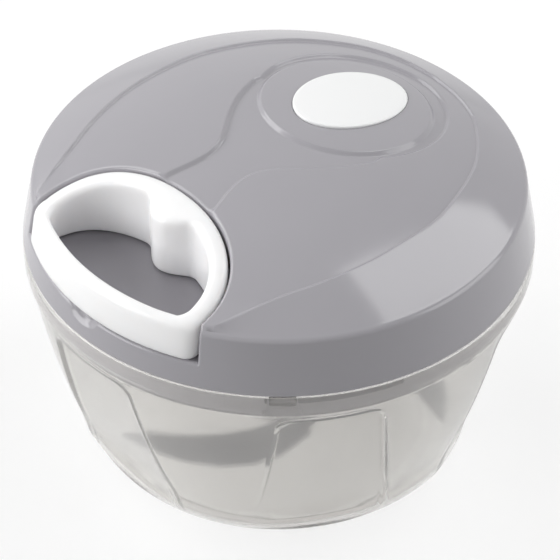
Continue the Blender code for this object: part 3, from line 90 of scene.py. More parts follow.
HANDLE_BACK_Y = -0.0303
ARCH_DEPTH = 0.0217
ARCH_Y = HANDLE_BACK_Y - ARCH_DEPTH
ARCH_HALF_WIDTH = 0.0300
ARCH_POWER = 2.2
HANDLE_FLARE = 0.4
HANDLE_WALL = 0.0046
HANDLE_PROUD = 0.0002
HANDLE_TOP_ROUND = 0.0020
HANDLE_FOOT_ROUND = 0.0009
HANDLE_CORNER = 0.0034
FINGER_CORNER = 0.0021
FINGER_CORNER_FULLNESS = 0.4
SECTION_SIZE_SHARE = 0.44
SECTION_FLAT_SHARE = 0.05
FRONT_BAR_WALL = 0.0028
FRONT_BAR_RADIUS = CREASE_RADIUS - FRONT_BAR_WALL
BOSS_HALF_WIDTH = 0.0080
BOSS_DEPTH = 0.0053
BOSS_POWER = 1.25
RECESS_GAP = 0.0005
RECESS_ROUND = 0.0010
RECESS_FLARE = 0.6
HANDLE_FOOT_GAP = 0.0003
Z_HANDLE_FOOT = Z_RECESS + HANDLE_FOOT_GAP
SCALLOP_HALF_WIDTH = 0.0056
SCALLOP_REACH = 0.0030
SCALLOP_DEPTH = 0.0027
Z_CORD = 0.0756
CORD_RADIUS = 0.0010
KNOT_SETBACK = 0.0052
KNOT_ROOM = 0.0024
HOLE_GAP = 0.0003
CUTTER_REACH = 0.004

# Relief of the lid's top

PLATEAU_RAISE = 0.0011
PLATEAU_EASE = 0.040
PLATEAU_STEP = 0.00080
PLATEAU_STEP_WIDTH = 0.0009
PLATEAU_STEP_FADE = 0.008
PLATEAU_STEP_LEAST_SHARE = 0.35
GROOVE_DEPTH = 0.00095
GROOVE_WIDTH = 0.0014
SEAT_DEPTH = 0.0010
SEAT_GAP = 0.00018
SEAT_EDGE = 0.0003
BADGE_Y = 0.0240
BADGE_HALF_LENGTH = 0.0165
BADGE_HALF_WIDTH = 0.0120
BADGE_PROUD = 0.0004
BADGE_FOOT_GAP = 0.0002
BADGE_RIM_SHARES = (  # (share of the oval's size, share of BADGE_PROUD)
    (1.0, 0.1),
    (0.997, 0.5),
    (0.989, 0.85),
    (0.975, 1.0),
    (0.9, 1.0),
    (0.7, 1.0),
    (0.45, 1.0),
    (0.2, 1.0),
)
PLATEAU_HALF_OUTLINE = (  # (half width, y)
    (0.0300, -0.0680),
    (0.0312, -0.0590),
    (0.0328, -0.0530),
    (0.0345, -0.0480),
    (0.0385, -0.0350),
    (0.0425, -0.0250),
    (0.0455, -0.0110),
    (0.0456, 0.0020),
    (0.0450, 0.0110),
    (0.0420, 0.0200),
    (0.0380, 0.0290),
    (0.0337, 0.0360),
    (0.0270, 0.0430),
    (0.0195, 0.0490),
    (0.0100, 0.0524),
    (0.0, 0.0532),
)
KEYHOLE_HALF_NECK = (
    (0.0095, -0.0340),
    (0.0087, -0.0283),
    (0.0066, -0.0220),
    (0.0063, -0.0170),
    (0.0076, -0.0120),
    (0.0145, -0.0040),
    (0.0196, 0.0040),
    (0.0222, 0.0115),
)
KEYHOLE_CENTRE_Y = 0.0244
KEYHOLE_RADIUS = 0.0244
HEAD_CENTRE_Y = 0.0225
HEAD_RADIUS = 0.0220

# Limits for the numbers, and spacings of the lid's mesh

TINY = 1e-12
CHUNK = 1500
CORNER_CUT = 0.25
SAME_PLACE = 1e-7
POINT_GAP = 1e-5
NORMAL_STEP = 0.00008
DOME_STEP = 0.0004
SKIRT_STEP = 0.0005
RING_STEP = 0.0016
RING_PARTS = 12
RIM_COLUMNS = 300
RIM_ROOM = 0.0001
LINE_STEP = 0.0008
LINE_ROOM = 0.0007
LINE_END_ROOM = 0.0006
EDGE_ROOM = 0.00025
STEP_ROWS = (-0.0012, -0.0006, -0.0003, 0.0, 0.0003, 0.0006, 0.0012)
GROOVE_ROWS = (-0.0012, -0.0007, -0.00035, 0.0, 0.00035, 0.0007, 0.0012)
SEAT_ROWS = (-0.0006, -0.00025, -0.00012, 0.0, 0.0001, 0.0002, 0.0005)
ARCH_STEPS_POWER = 1.15
RECESS_STEP = 0.0007
RECESS_CREASE_INSETS = (0.0002, 0.0007, 0.0013)
RECESS_CREASE_SHARES = (0.75, 0.5, 0.25)
RECESS_CORNER_FULLNESS = 0.4
FLOOR_HALF_WIDTH = 0.033
FLOOR_FRONT_Y = -0.064
FLOOR_BACK_Y = -0.029
FLOOR_STEP = 0.0022
NOTCH_HALF_WIDTH = 0.006
NOTCH_FRONT_Y = -0.0636
NOTCH_BACK_Y = -0.0617
NOTCH_STEP = 0.0005
NOTCH_ROW_STEP = 0.0003
NOTCH_ROOM = 0.0005

# Bowl, as in the CAD

BOWL_LID_GAP = 0.0003
Z_STEP = Z_SKIRT - BOWL_LID_GAP
BOWL_WALL = 0.0022
BOWL_FLOOR_TOP = 0.0034
FOOT_RADIUS = 0.0400
FOOT_WIDTH = 0.0028
FOOT_HEIGHT = 0.0010
BOWL_FLAT_RADIUS = 0.0435
FLOOR_FIRST_SHARE = 0.15
FLOOR_HALFWAY_SHARE = 0.5
BOWL_SIDE_SHARES = (  # (share of the height, share of RIM_RADIUS)
    (0.045, 0.735),
    (0.10, 0.785),
    (0.25, 0.835),
    (0.50, 0.909),
    (0.75, 0.964),
)
COLLAR_HEIGHT = 0.0064
BOWL_ROUND = 0.0004
POST_RADIUS = 0.0046
POST_HEIGHT = 0.0042
PIN_BORE = 0.0019
PIN_BORE_BASE = 0.0028
LIP_RADIUS = 0.06228
LIP_BORE = 0.06088
LIP_HEIGHT = 0.0026
LIP_BASE = 0.0022
PANELS = 6
PANEL_FIRST_AZIMUTH = math.radians(-30)
PANEL_HALF_WIDTH = 0.016
PANEL_TOP_HALF = 0.0146
PANEL_FOOT_HALF = 0.0190
PANEL_STEP = 0.0005
PANEL_STEP_WIDTH = 0.0019
PANEL_TOP = 0.0560
PANEL_CORNER = 0.005
PANEL_BOTTOM = 0.0045
PANEL_RUNOUT = 0.007
PANEL_ROOM = 0.0002
PANEL_SINE_LIMIT = 0.9
HEEL_BOTTOM = 0.003
HEEL_TOP = 0.0105
LUGS = 4
LUG_AZIMUTH = math.radians(-41)
LUG_HALF_ANGLE = math.radians(3)
Z_LUG = 0.0608
LUG_HEIGHT = 0.002
LUG_INNER_RADIUS = 0.0596
LUG_SEAT = 0.0012
LUG_TAPER = 0.0003
LUG_ROUND = 0.0004
LUG_SECTIONS = 9
ENTRY_HALF_ANGLE = math.radians(3.8)
ENTRY_SLOPE_ANGLE = math.radians(0.5)
ENTRY_WALL_DROP = 0.0009
LOCK_WALL = 0.0010
LOCK_WALL_RADIUS = 0.0589
LOCK_BAND_RADIUS = 0.0605
Z_LOCK_FOOT = 0.0570
Z_LOCK_BAND_TOP = 0.0588
Z_LOCK_WALL_TOP = 0.0655
COLLAR_STEP = 0.0006

# Cord

WINDING_RADIUS = 0.0177
WINDING_TURNS = 4
WINDING_RISE = 0.0099
CORD_BEND_Y = -0.0254
CORD_BRAID_TURNS = 380.0
STRAND_PHASE = 8 * math.pi
STRAND_EDGE = -0.2
CORD_FIRST_SHARE = 0.02
CORD_BEND_ROOM = 0.0008
CORD_END_ROOM = 0.0016
KNOT_SIZE = 0.0004
KNOT_DEPTH = 0.00055
KNOT_CORD_SHARE = 0.9

# Light

AMBIENT = 0.25
FLOOR_SIZE = 3.0
FLOOR_TONE = 0.42
FLOOR_SHOWN_TONE = 1.0
FLOOR_GLOW = 0.64
FLOOR_ROUGHNESS = 0.9
FLOOR_GLOSS = 0.1
WINDOW_LAMP_PLACE = Vector((0.195, 0.95, 1.08))
WINDOW_LAMP_SIZE = (0.42, 1.36)
WINDOW_LAMP_POWER = 6.8
LAMPS = (  # (name, azimuth and elevation in degrees, distance, width, length, power)
    ("back_lamp", 200, 38, 1.5, 1.0, 1.0, 9.6),
    ("left_lamp", -119, 20, 1.4, 1.1, 0.8, 12.2),
    ("front_lamp", -50, 20, 1.4, 1.0, 0.8, 1.2),
    ("right_lamp", 42, 22, 1.4, 1.0, 0.9, 7.0),
)

# Materials, with noises as (scale, detail) and bumps as (strength, distance)

GLOSS_RANGE = (0.3, 0.7)
CLEAR_GLOSS_RANGE = (0.35, 0.75)
PLASTIC_NOISES = ((35.0, 3.0), (160.0, 4.0), (2600.0, 2.0))
PLASTIC_BUMP = (0.25, 0.000012)
PLASTIC_GLOSS_SPREAD = (-0.02, 0.03)
GLOW_DEPTH = 0.003
GLOW_COLOURS = (1.0, 0.97, 0.95)
CLEAR_NOISES = ((24.0, 2.0), (220.0, 3.0))
CLEAR_BUMP = (0.2, 0.0002)
CLEAR_GLOSS_SPREAD = (0.0, 0.03)
CLEAR_IOR = 1.49
CLEAR_SHADOW = (0.92, 0.92, 0.92, 1)
STEEL_LINES = ((400.0, 9000.0, 9000.0), 2.0)
STEEL_NOISES = ((90.0, 3.0), STEEL_LINES, STEEL_LINES)
STEEL_BUMP = (0.08, 0.00001)
STEEL_GLOSS_SPREAD = (-0.03, 0.04)
STEEL_DARK_SHARE = 0.92
RUBBER_NOISES = ((1500.0, 3.0),) * 3
RUBBER_BUMP = (0.3, 0.00003)
RUBBER_GLOSS = (0.5, 0.65)
RUBBER_DARK_SHARE = 0.93
CORD_BUMP = (0.7, 0.0002)
CORD_DARK_SHARE = 0.55
CORD_ROUGHNESS = 0.85
CORD_SHEEN = 0.25
WHITE_LIGHT = (1, 1, 1, 1)


# Meshes


def add_object(name, data, place=None, turn=None):
    """A new object in the scene, at a place and with a turn where they are given."""
    piece = bpy.data.objects.new(name, data)
    if turn is not None:
        piece.location = place
        piece.rotation_mode = "QUATERNION"
        piece.rotation_quaternion = turn
    bpy.context.scene.collection.objects.link(piece)
    return piece


def add_mesh(name, points, faces, material, normals=None):
    """A new piece from points and faces, smooth-shaded, with its own normals where they are given."""
    mesh = bpy.data.meshes.new(name)
    mesh.from_pydata([tuple(p) for p in points], [], [tuple(f) for f in faces])
    mesh.materials.append(material)
    mesh.validate()
    mesh.shade_smooth()
    if normals is not None:
        mesh.normals_split_custom_set_from_vertices([tuple(n) for n in normals])
    return add_object(name, mesh)


def grid_faces(rows, columns, closed, first=0, flip=False, looped=False):
    """The quads of a grid of points held row by row. Closed joins a row's ends, looped the last row."""
    faces = []
    for i in range(rows if looped else rows - 1):
        row, after = first + i * columns, first + (i + 1) % rows * columns
        for j in range(columns if closed else columns - 1):
            k = (j + 1) % columns
            a, b, c, d = row + j, row + k, after + k, after + j
            faces.append((a, d, c, b) if flip else (a, b, c, d))
    return faces


def add_grid(name, grid, material, looped=False, ended=False, flip=False, flip_ends=False):
    """A new piece from a grid whose rows are closed, and whose columns may be looped or ended."""
    rows, columns = grid.shape[:2]
    faces = grid_faces(rows, columns, True, flip=flip, looped=looped)
    if ended:
        first = list(range(columns))
        last = [(rows - 1) * columns + j for j in first]
        faces += [tuple(first[::-1]), tuple(last)] if flip_ends else [tuple(first), tuple(last[::-1])]
    return add_mesh(name, grid.reshape(-1, 3), faces, material)


def unit(vectors):
    return vectors / np.maximum(np.linalg.norm(vectors, axis=-1, keepdims=True), TINY)


def grid_normals(grid):
    """The normal at each point of a grid of shape (rows, columns, 3) whose rows are closed."""
    along = np.roll(grid, -1, axis=1) - np.roll(grid, 1, axis=1)
    return unit(np.cross(along, np.gradient(grid, axis=0)))


def faces_out(piece, merged=False):
    """Turns the faces outwards, after joining points that coincide where merged says so."""
    shape = bmesh.new()
    shape.from_mesh(piece.data)
    if merged:
        bmesh.ops.remove_doubles(shape, verts=shape.verts, dist=SAME_PLACE)
    bmesh.ops.recalc_face_normals(shape, faces=shape.faces)
    shape.to_mesh(piece.data)
    shape.free()
    return piece


def sharpen(piece, degrees):
    """Keeps edges sharper than an angle crisp on a smooth piece."""
    piece.data.set_sharp_from_angle(angle=math.radians(degrees))
    return piece


def cut(piece, *cutters):
    """Cuts each closed cutter from the piece, and removes the cutters."""
    for cutter in cutters:
        modifier = piece.modifiers.new("cut", "BOOLEAN")
        modifier.operation = "DIFFERENCE"
        modifier.object = cutter
        modifier.solver = "EXACT"
    bpy.context.view_layer.update()
    graph = bpy.context.evaluated_depsgraph_get()
    mesh = bpy.data.meshes.new_from_object(piece.evaluated_get(graph))
    piece.modifiers.clear()
    piece.data = mesh
    for cutter in cutters:
        bpy.data.objects.remove(cutter, do_unlink=True)
    return piece


def smoothed(points, rounds=3):
    """An open line of points with its corners cut again and again."""
    points = np.array(points, float)
    for _ in range(rounds):
        near = (1 - CORNER_CUT) * points[:-1] + CORNER_CUT * points[1:]
        far = CORNER_CUT * points[:-1] + (1 - CORNER_CUT) * points[1:]
        inner = np.stack([near, far], 1).reshape(-1, 2)
        points = np.concatenate([points[:1], inner[1:-1], points[-1:]])
    return points


def mirrored(points):
    """A half loop that ends on the middle plane, with its mirror image after it."""
    points = np.asarray(points)
    flip = np.ones(points.shape[1])
    flip[0] = -1
    return np.concatenate([points, points[-2::-1] * flip])


def turned(radii, angles, heights):
    """Points at radii and angles round the upright axis, at heights."""
    return np.stack(np.broadcast_arrays(radii * np.cos(angles), radii * np.sin(angles), heights), -1)


def lattice(xs, ys):
    return np.stack(np.meshgrid(xs, ys), 2).reshape(-1, 2)


def smoothstep(t):
    t = np.clip(t, 0.0, 1.0)
    return t * t * (3 - 2 * t)


def signed_distance(points, outline):
    """How far each point is from a closed outline, below 0 inside it."""
    start = np.asarray(outline)
    run = np.roll(start, -1, axis=0) - start
    length = np.maximum((run**2).sum(1), TINY)
    result = np.empty(len(points))
    for low in range(0, len(points), CHUNK):
        chunk = points[low : low + CHUNK]
        offset = chunk[:, None, :] - start[None]
        t = np.clip((offset * run).sum(2) / length, 0, 1)
        near = offset - t[..., None] * run
        distance = np.sqrt((near**2).sum(2).min(1))
        y, y0, y1 = chunk[:, None, 1], start[None, :, 1], (start + run)[None, :, 1]
        crosses = (y0 > y) != (y1 > y)
        rise = np.where(np.abs(y1 - y0) < TINY, TINY, y1 - y0)
        at = start[None, :, 0] + (y - y0) / rise * run[None, :, 0]
        inside = (crosses & (chunk[:, None, 0] < at)).sum(1) % 2 == 1
        result[low : low + CHUNK] = np.where(inside, -distance, distance)
    return result


def bezier(a, b, c, steps):
    """Points of a quadratic curve from a to c that is pulled towards b."""
    a, b, c = (np.asarray(p, float) for p in (a, b, c))
    ts = np.linspace(0, 1, steps + 1)[:, None]
    return (1 - ts) ** 2 * a + 2 * ts * (1 - ts) * b + ts**2 * c


def lengths_along(points):
    """How far along a line each of its points is."""
    return np.concatenate([[0], np.cumsum(np.linalg.norm(np.diff(points, axis=0), axis=1))])


def spread(points, count):
    """Points at even steps along a line of points."""
    points = np.asarray(points, float)
    lengths = lengths_along(points)
    at = np.linspace(0, lengths[-1], count)
    return np.stack([np.interp(at, lengths, column) for column in points.T], 1)


def after_length(points, length):
    """What is left of a line of points once a length is taken off its start."""
    points = np.asarray(points, float)
    lengths = lengths_along(points)
    start = [np.interp(length, lengths, column) for column in points.T]
    return np.concatenate([[start], points[lengths > length + SAME_PLACE]])


def filled(loop, inner, outside=False):
    """Points and triangles over the inside of a closed loop, or between it and the points outside it."""
    edges = [(i, (i + 1) % len(loop)) for i in range(len(loop))]
    flat = [Vector(p) for p in np.concatenate([loop, inner])]
    placed, _, triangles, *_ = delaunay_2d_cdt(flat, edges, [], 0, SAME_PLACE)
    placed = np.array([tuple(p) for p in placed])
    triangles = np.array(triangles)
    distance = signed_distance(placed[triangles].mean(1), loop)
    return placed, triangles[distance > 0 if outside else distance < 0]


def sweep(name, path, radius, sides, material, closed=False):
    """A round tube along a path, with flat ends, and with its length as its V coordinate."""
    path = np.asarray(path, float)
    if closed:
        tangents = np.roll(path, -1, axis=0) - np.roll(path, 1, axis=0)
    else:
        tangents = np.gradient(path, axis=0)
    tangents = unit(tangents)
    side = np.cross(tangents[0], (0.0, 0.0, 1.0))
    angles = 2 * np.pi * np.arange(sides)[:, None] / sides
    rings = []
    for point, tangent in zip(path, tangents):
        side = unit(side - tangent * side.dot(tangent))
        up = np.cross(tangent, side)
        rings.append(point + radius * (np.cos(angles) * side + np.sin(angles) * up))
    piece = add_grid(name, np.array(rings), material, looped=closed, ended=not closed, flip=True)
    lengths = lengths_along(path)
    layer = piece.data.uv_layers.new(name="along")
    for polygon in piece.data.polygons:
        corners = [divmod(piece.data.loops[i].vertex_index, sides) for i in polygon.loop_indices]
        across = [j for _, j in corners]
        wraps = max(across) - min(across) > sides / 2
        for i, (row, j) in zip(polygon.loop_indices, corners):
            layer.data[i].uv = ((j + sides if wraps and j < sides / 2 else j) / sides, lengths[row])
    return piece


# Materials


def new_material(name):
    material = bpy.data.materials.new(name)
    material.use_nodes = True
    return material, material.node_tree, material.node_tree.nodes["Principled BSDF"]


def wire(tree, node, inputs):
    """Links each named input of a node to an output, or sets it to a value."""
    for name, value in inputs.items():
        if isinstance(value, bpy.types.NodeSocket):
            tree.links.new(value, node.inputs[name])
        else:
            node.inputs[name].default_value = value


def add_node(tree, kind, inputs, out=0, **settings):
    """An output of a new shader node, with its settings and inputs."""
    node = tree.nodes.new(kind)
    for name, value in settings.items():
        setattr(node, name, value)
    wire(tree, node, inputs)
    return node.outputs[out]


def calculate(tree, operation, *values):
    return add_node(tree, "ShaderNodeMath", dict(enumerate(values)), operation=operation)


def add_noise(tree, scale, detail):
    """A noise over the piece's own coordinates, whose scale may differ along the axes."""
    at = add_node(tree, "ShaderNodeTexCoord", {}, "Object")
    if isinstance(scale, tuple):
        at = add_node(tree, "ShaderNodeMapping", {"Vector": at, "Scale": scale})
        scale = 1.0
    return add_node(tree, "ShaderNodeTexNoise", {"Vector": at, "Scale": scale, "Detail": detail}, "Fac")


def ramp(tree, value, low, high, low_to, high_to):
    """Maps a value from one range to another."""
    ends = {"Value": value, "From Min": low, "From Max": high, "To Min": low_to, "To Max": high_to}
    return add_node(tree, "ShaderNodeMapRange", ends, "Result")


def mix_colours(tree, factor, first, second):
    ends = {"Factor": factor, 6: (*first, 1), 7: (*second, 1)}
    return add_node(tree, "ShaderNodeMix", ends, 2, data_type="RGBA")


def bumped(tree, height, strength, distance):
    inputs = {"Height": height, "Strength": strength, "Distance": distance}
    return add_node(tree, "ShaderNodeBump", inputs, "Normal")


def show_mix(tree, share, first, second):
    """Makes a material's surface a mix of two shaders."""
    mix = add_node(tree, "ShaderNodeMixShader", {0: share, 1: first, 2: second})
    tree.links.new(mix, tree.nodes["Material Output"].inputs["Surface"])


def shade(colour, share):
    return tuple(min(1.0, c * share) for c in colour)


def around(value, differences):
    return tuple(value + difference for difference in differences)


def surface(name, colours, roughness, noises, bump, settings):
    """A material whose tone, gloss and fine relief each follow a noise."""
    material, tree, shader = new_material(name)
    tone, gloss, relief = [add_noise(tree, *noise) for noise in noises]
    wire(tree, shader, {
        "Base Color": mix_colours(tree, tone, *colours),
        "Roughness": ramp(tree, gloss, *GLOSS_RANGE, *roughness),
        "Normal": bumped(tree, relief, *bump),
        **settings,
    })
    return material


def moulded_plastic(name, colour, roughness, tint=0.025, glow_through=0.0):
    """Moulded plastic: an even colour with a faint flow variation, a fine grain, and uneven gloss."""
    settings = {
        "Subsurface Weight": glow_through,
        "Subsurface Radius": GLOW_COLOURS,
        "Subsurface Scale": GLOW_DEPTH,
    }
    colours = (shade(colour, 1 - tint), shade(colour, 1 + tint))
    gloss = around(roughness, PLASTIC_GLOSS_SPREAD)
    return surface(name, colours, gloss, PLASTIC_NOISES, PLASTIC_BUMP, settings)


def clear_plastic(name, colour, roughness, clearness):
    """Clear moulded plastic that refracts, with faint flow lines, and that lets the lamps' light through."""
    material, tree, shader = new_material(name)
    flow, smear = [add_noise(tree, *noise) for noise in CLEAR_NOISES]
    gloss = around(roughness, CLEAR_GLOSS_SPREAD)
    wire(tree, shader, {
        "Base Color": (*colour, 1),
        "Transmission Weight": clearness,
        "IOR": CLEAR_IOR,
        "Roughness": ramp(tree, smear, *CLEAR_GLOSS_RANGE, *gloss),
        "Normal": bumped(tree, flow, *CLEAR_BUMP),
    })
    passing = add_node(tree, "ShaderNodeBsdfTransparent", {"Color": CLEAR_SHADOW})
    shadow_ray = add_node(tree, "ShaderNodeLightPath", {}, "Is Shadow Ray")
    show_mix(tree, shadow_ray, shader.outputs[0], passing)
    return material


def ground_steel(name, colour, roughness):
    """Stainless steel with very fine grinding lines and slightly uneven gloss."""
    colours = (shade(colour, STEEL_DARK_SHARE), colour)
    gloss = around(roughness, STEEL_GLOSS_SPREAD)
    return surface(name, colours, gloss, STEEL_NOISES, STEEL_BUMP, {"Metallic": 1.0})


def soft_rubber(name, colour):
    colours = (shade(colour, RUBBER_DARK_SHARE), colour)
    return surface(name, colours, RUBBER_GLOSS, RUBBER_NOISES, RUBBER_BUMP, {})


def braided_cord(name, colour):
    """Braided cord: two sets of strands that cross, from the tube's own coordinates."""
    material, tree, shader = new_material(name)
    split = tree.nodes.new("ShaderNodeSeparateXYZ")
    wire(tree, split, {0: add_node(tree, "ShaderNodeUVMap", {}, "UV")})
    waves = []
    for sign in (1.0, -1.0):
        slant = calculate(
            tree, "MULTIPLY_ADD", split.outputs["Y"], sign * CORD_BRAID_TURNS, split.outputs["X"]
        )
        waves.append(calculate(tree, "SINE", calculate(tree, "MULTIPLY", slant, STRAND_PHASE)))
    weave = ramp(tree, calculate(tree, "MAXIMUM", *waves), STRAND_EDGE, 1.0, 0.0, 1.0)
    wire(tree, shader, {
        "Base Color": mix_colours(tree, weave, shade(colour, CORD_DARK_SHARE), colour),
        "Roughness": CORD_ROUGHNESS,
        "Sheen Weight": CORD_SHEEN,
        "Normal": bumped(tree, weave, *CORD_BUMP),
    })
    return material


LID_GREY = moulded_plastic("lid_grey_plastic", (0.368, 0.358, 0.384), 0.11)
WHITE = moulded_plastic("white_plastic", (0.93, 0.92, 0.935), 0.24, tint=0.006, glow_through=0.9)
BADGE_WHITE = moulded_plastic("badge_white_plastic", (0.92, 0.925, 0.925), 0.24, tint=0.006)
# The recess floor's grey is darker than the lid's: painted shade of the recess under the handle. Its rougher
# gloss is a matte finish.
RECESS_PAINTED_SHADE_GREY = moulded_plastic("recess_painted_shade_plastic", (0.25, 0.242, 0.262), 0.30)
INNER_GREY = moulded_plastic("inner_grey_plastic", (0.36, 0.35, 0.375), 0.45)
INNER_WHITE = moulded_plastic("inner_white_plastic", (0.78, 0.78, 0.77), 0.42, tint=0.015)
CLEAR = clear_plastic("clear_bowl_plastic", (0.80, 0.789, 0.770), 0.085, 0.88)
CLEAR_LUG = clear_plastic("clear_lug_plastic", (0.78, 0.77, 0.76), 0.035, 1.0)
STEEL = ground_steel("ground_steel", (0.60, 0.60, 0.62), 0.36)
RUBBER = soft_rubber("seal_rubber", (0.62, 0.62, 0.61))
CORD = braided_cord("cord_braid", (0.80, 0.79, 0.78))
WHITE_NODES = (
    "cord_guide", "hub_bush", "drive_hub", "reel_drum", "reel_cap",
    "drive_head", "blade_spacer_1", "blade_spacer_2",
)


# The lid's outer skin


def skirt_radius(z):
    return RIM_RADIUS - SKIRT_FLARE * (z - Z_SKIRT) / SKIRT_HEIGHT


def dome_height(r):
    return Z_CREASE + DOME_RISE * (1 - (r / CREASE_RADIUS) ** 2)


def lid_profile():
    """(radius, height) down the lid: dome, rounded crease, skirt, foot, and a band up inside it."""
    dome_end = CREASE_RADIUS - CREASE_SIZE
    radii = np.arange(0, dome_end, DOME_STEP)
    dome = np.stack([radii, dome_height(radii)], 1)
    z = Z_CREASE - CREASE_SIZE
    crease = bezier((dome_end, dome_height(dome_end)), (CREASE_RADIUS, Z_CREASE), (skirt_radius(z), z), 24)
    low = Z_SKIRT + FOOT_ROUND
    heights = np.arange(z - SKIRT_STEP, low, -SKIRT_STEP)
    skirt = np.stack([skirt_radius(heights), heights], 1)
    foot_out = bezier((skirt_radius(low), low), (RIM_RADIUS, Z_SKIRT), (RIM_RADIUS - FOOT_ROUND, Z_SKIRT), 8)
    inner = RIM_RADIUS - LID_WALL
    foot_in = bezier((inner + FOOT_ROUND, Z_SKIRT), (inner, Z_SKIRT), (inner, low), 6)
    top = Z_SKIRT + INNER_BAND
    band = np.array([[skirt_radius(top) - LID_WALL, top]])
    return np.concatenate([dome, crease, skirt, foot_out, foot_in, band])


PROFILE = lid_profile()
RUNS = lengths_along(PROFILE)
OUTER = int(np.argmax(PROFILE[:, 0])) + 1


def run_at_radius(r):
    return np.interp(r, PROFILE[:OUTER, 0], RUNS[:OUTER])


def run_at_height(z):
    return np.interp(-z, -PROFILE[:OUTER, 1], RUNS[:OUTER])


def keyhole_outline():
    """A neck from the recess that widens into a round head."""
    neck = smoothed(KEYHOLE_HALF_NECK)
    x, y = neck[-1]
    start = math.atan2(y - KEYHOLE_CENTRE_Y, x)
    angles = np.linspace(start, math.pi - start, 60)[1:-1]
    head = KEYHOLE_RADIUS * np.stack([np.cos(angles), np.sin(angles)], 1) + (0, KEYHOLE_CENTRE_Y)
    return np.concatenate([neck, head, neck[::-1] * (-1, 1)])


def ellipse(half_x, half_y, centre_y, count):
    angles = 2 * np.pi * np.arange(count) / count
    return np.stack([half_x * np.cos(angles), centre_y + half_y * np.sin(angles)], 1)


PLATEAU = mirrored(smoothed(PLATEAU_HALF_OUTLINE))
KEYHOLE = keyhole_outline()
HEAD = ellipse(HEAD_RADIUS, HEAD_RADIUS, HEAD_CENTRE_Y, 72)
BADGE = ellipse(BADGE_HALF_WIDTH, BADGE_HALF_LENGTH, BADGE_Y, 72)


def raise_of(plan):
    """How far the lid's top is lifted: most along the plateau's line, with a step down inside it."""
    to_crease = np.maximum(CREASE_RADIUS - CREASE_SIZE - np.hypot(plan[:, 0], plan[:, 1]), 0)
    edge = signed_distance(plan, PLATEAU)
    outside = to_crease / np.maximum(to_crease + np.maximum(edge, 0), TINY)
    inside = np.maximum(0, 1 + np.minimum(edge, 0) / PLATEAU_EASE) ** 2
    height = PLATEAU_RAISE * np.where(edge > 0, outside, inside)
    fade = np.clip(to_crease / PLATEAU_STEP_FADE, 0, 1)
    sunk = smoothstep(0.5 - edge / PLATEAU_STEP_WIDTH) * fade
    return height - PLATEAU_STEP * sunk * np.maximum(inside, PLATEAU_STEP_LEAST_SHARE)


def relief(plan):
    """How far the lid's top stands above the plain dome: plateau, keyhole groove, raised head and seat."""
    height = raise_of(plan)
    height -= GROOVE_DEPTH * smoothstep(0.5 - signed_distance(plan, KEYHOLE) / GROOVE_WIDTH)
    height += GROOVE_DEPTH * smoothstep(0.5 - signed_distance(plan, HEAD) / GROOVE_WIDTH)
    seat = signed_distance(plan, BADGE) - SEAT_GAP
    return height - SEAT_DEPTH * smoothstep(-seat / SEAT_EDGE)


def lid_surface(flat):
    """The lid's points for points of its flattened plan, whose radius is the run down its profile."""
    run = np.hypot(flat[:, 0], flat[:, 1])
    r = np.interp(run, RUNS, PROFILE[:, 0])
    z = np.interp(run, RUNS, PROFILE[:, 1])
    plan = flat * (r / np.maximum(run, TINY))[:, None]
    top = run < run_at_radius(CREASE_RADIUS - CREASE_SIZE)
    z[top] += relief(plan[top])
    return np.column_stack([plan, z])


def surface_normals(surface, flat):
    """Normals of a surface function at flat points, by central differences."""
    ahead_x = surface(flat + (NORMAL_STEP, 0)) - surface(flat - (NORMAL_STEP, 0))
    ahead_y = surface(flat + (0, NORMAL_STEP)) - surface(flat - (0, NORMAL_STEP))
    return unit(np.cross(ahead_x, ahead_y))


def flat_of_plan(plan):
    """Points of the lid's plan, as points of its flattened plan."""
    plan = np.asarray(plan, float)
    r = np.hypot(plan[:, 0], plan[:, 1])
    return plan * (run_at_radius(r) / np.maximum(r, TINY))[:, None]


def offsets_of(outline, distances):
    """Points at even steps beside a closed outline, at each distance from it."""
    closed = np.concatenate([outline, outline[:1]])
    stations = lengths_along(closed)
    at = np.arange(0, stations[-1], LINE_STEP)
    points = np.stack([np.interp(at, stations, column) for column in closed.T], 1)
    tangent = unit(np.roll(points, -1, axis=0) - np.roll(points, 1, axis=0))
    normal = np.stack([tangent[:, 1], -tangent[:, 0]], 1)
    return np.concatenate([points + d * normal for d in distances])


# The recess that the handle docks in


def side_point(half, radius, flare=HANDLE_FLARE):
    """Where the arch's flared right side is at a distance from the axis."""
    a = flare**2 + 1
    b = half * flare - ARCH_Y
    c = half**2 + ARCH_Y**2 - radius**2
    t = max(0.0, (-b + math.sqrt(b * b - a * c)) / a)
    return (half + flare * t, ARCH_Y - t)


def arch_point(half, depth, angle):
    c, s = math.cos(angle), math.sin(angle)
    x = half * math.copysign(abs(c) ** (2 / ARCH_POWER), c)
    return (x, ARCH_Y + depth * max(s, 0.0) ** (2 / ARCH_POWER))


def arch_half_loop(margin, radii, steps=44):
    """The right half of the arch's outline grown by margin, from the front to the middle of its back."""
    half = ARCH_HALF_WIDTH + margin
    side = [side_point(half, r, RECESS_FLARE) for r in radii]
    # Steps that grow round the arch keep the points apart where the curve is flat.
    angles = [math.pi / 2 * (i / steps) ** ARCH_STEPS_POWER for i in range(steps + 1)]
    return np.array(side + [arch_point(half, ARCH_DEPTH + margin, a) for a in angles])


def scallop_drop(plan):
    """How deep the finger scallop is below the recess's floor."""
    x, y = plan[:, 0] / SCALLOP_HALF_WIDTH, (plan[:, 1] + RIM_RADIUS) / SCALLOP_REACH
    return SCALLOP_DEPTH * np.sqrt(np.maximum(1 - x**2 - y**2, 0))


def floor_surface(plan):
    return np.column_stack([plan, Z_RECESS - scallop_drop(plan)])


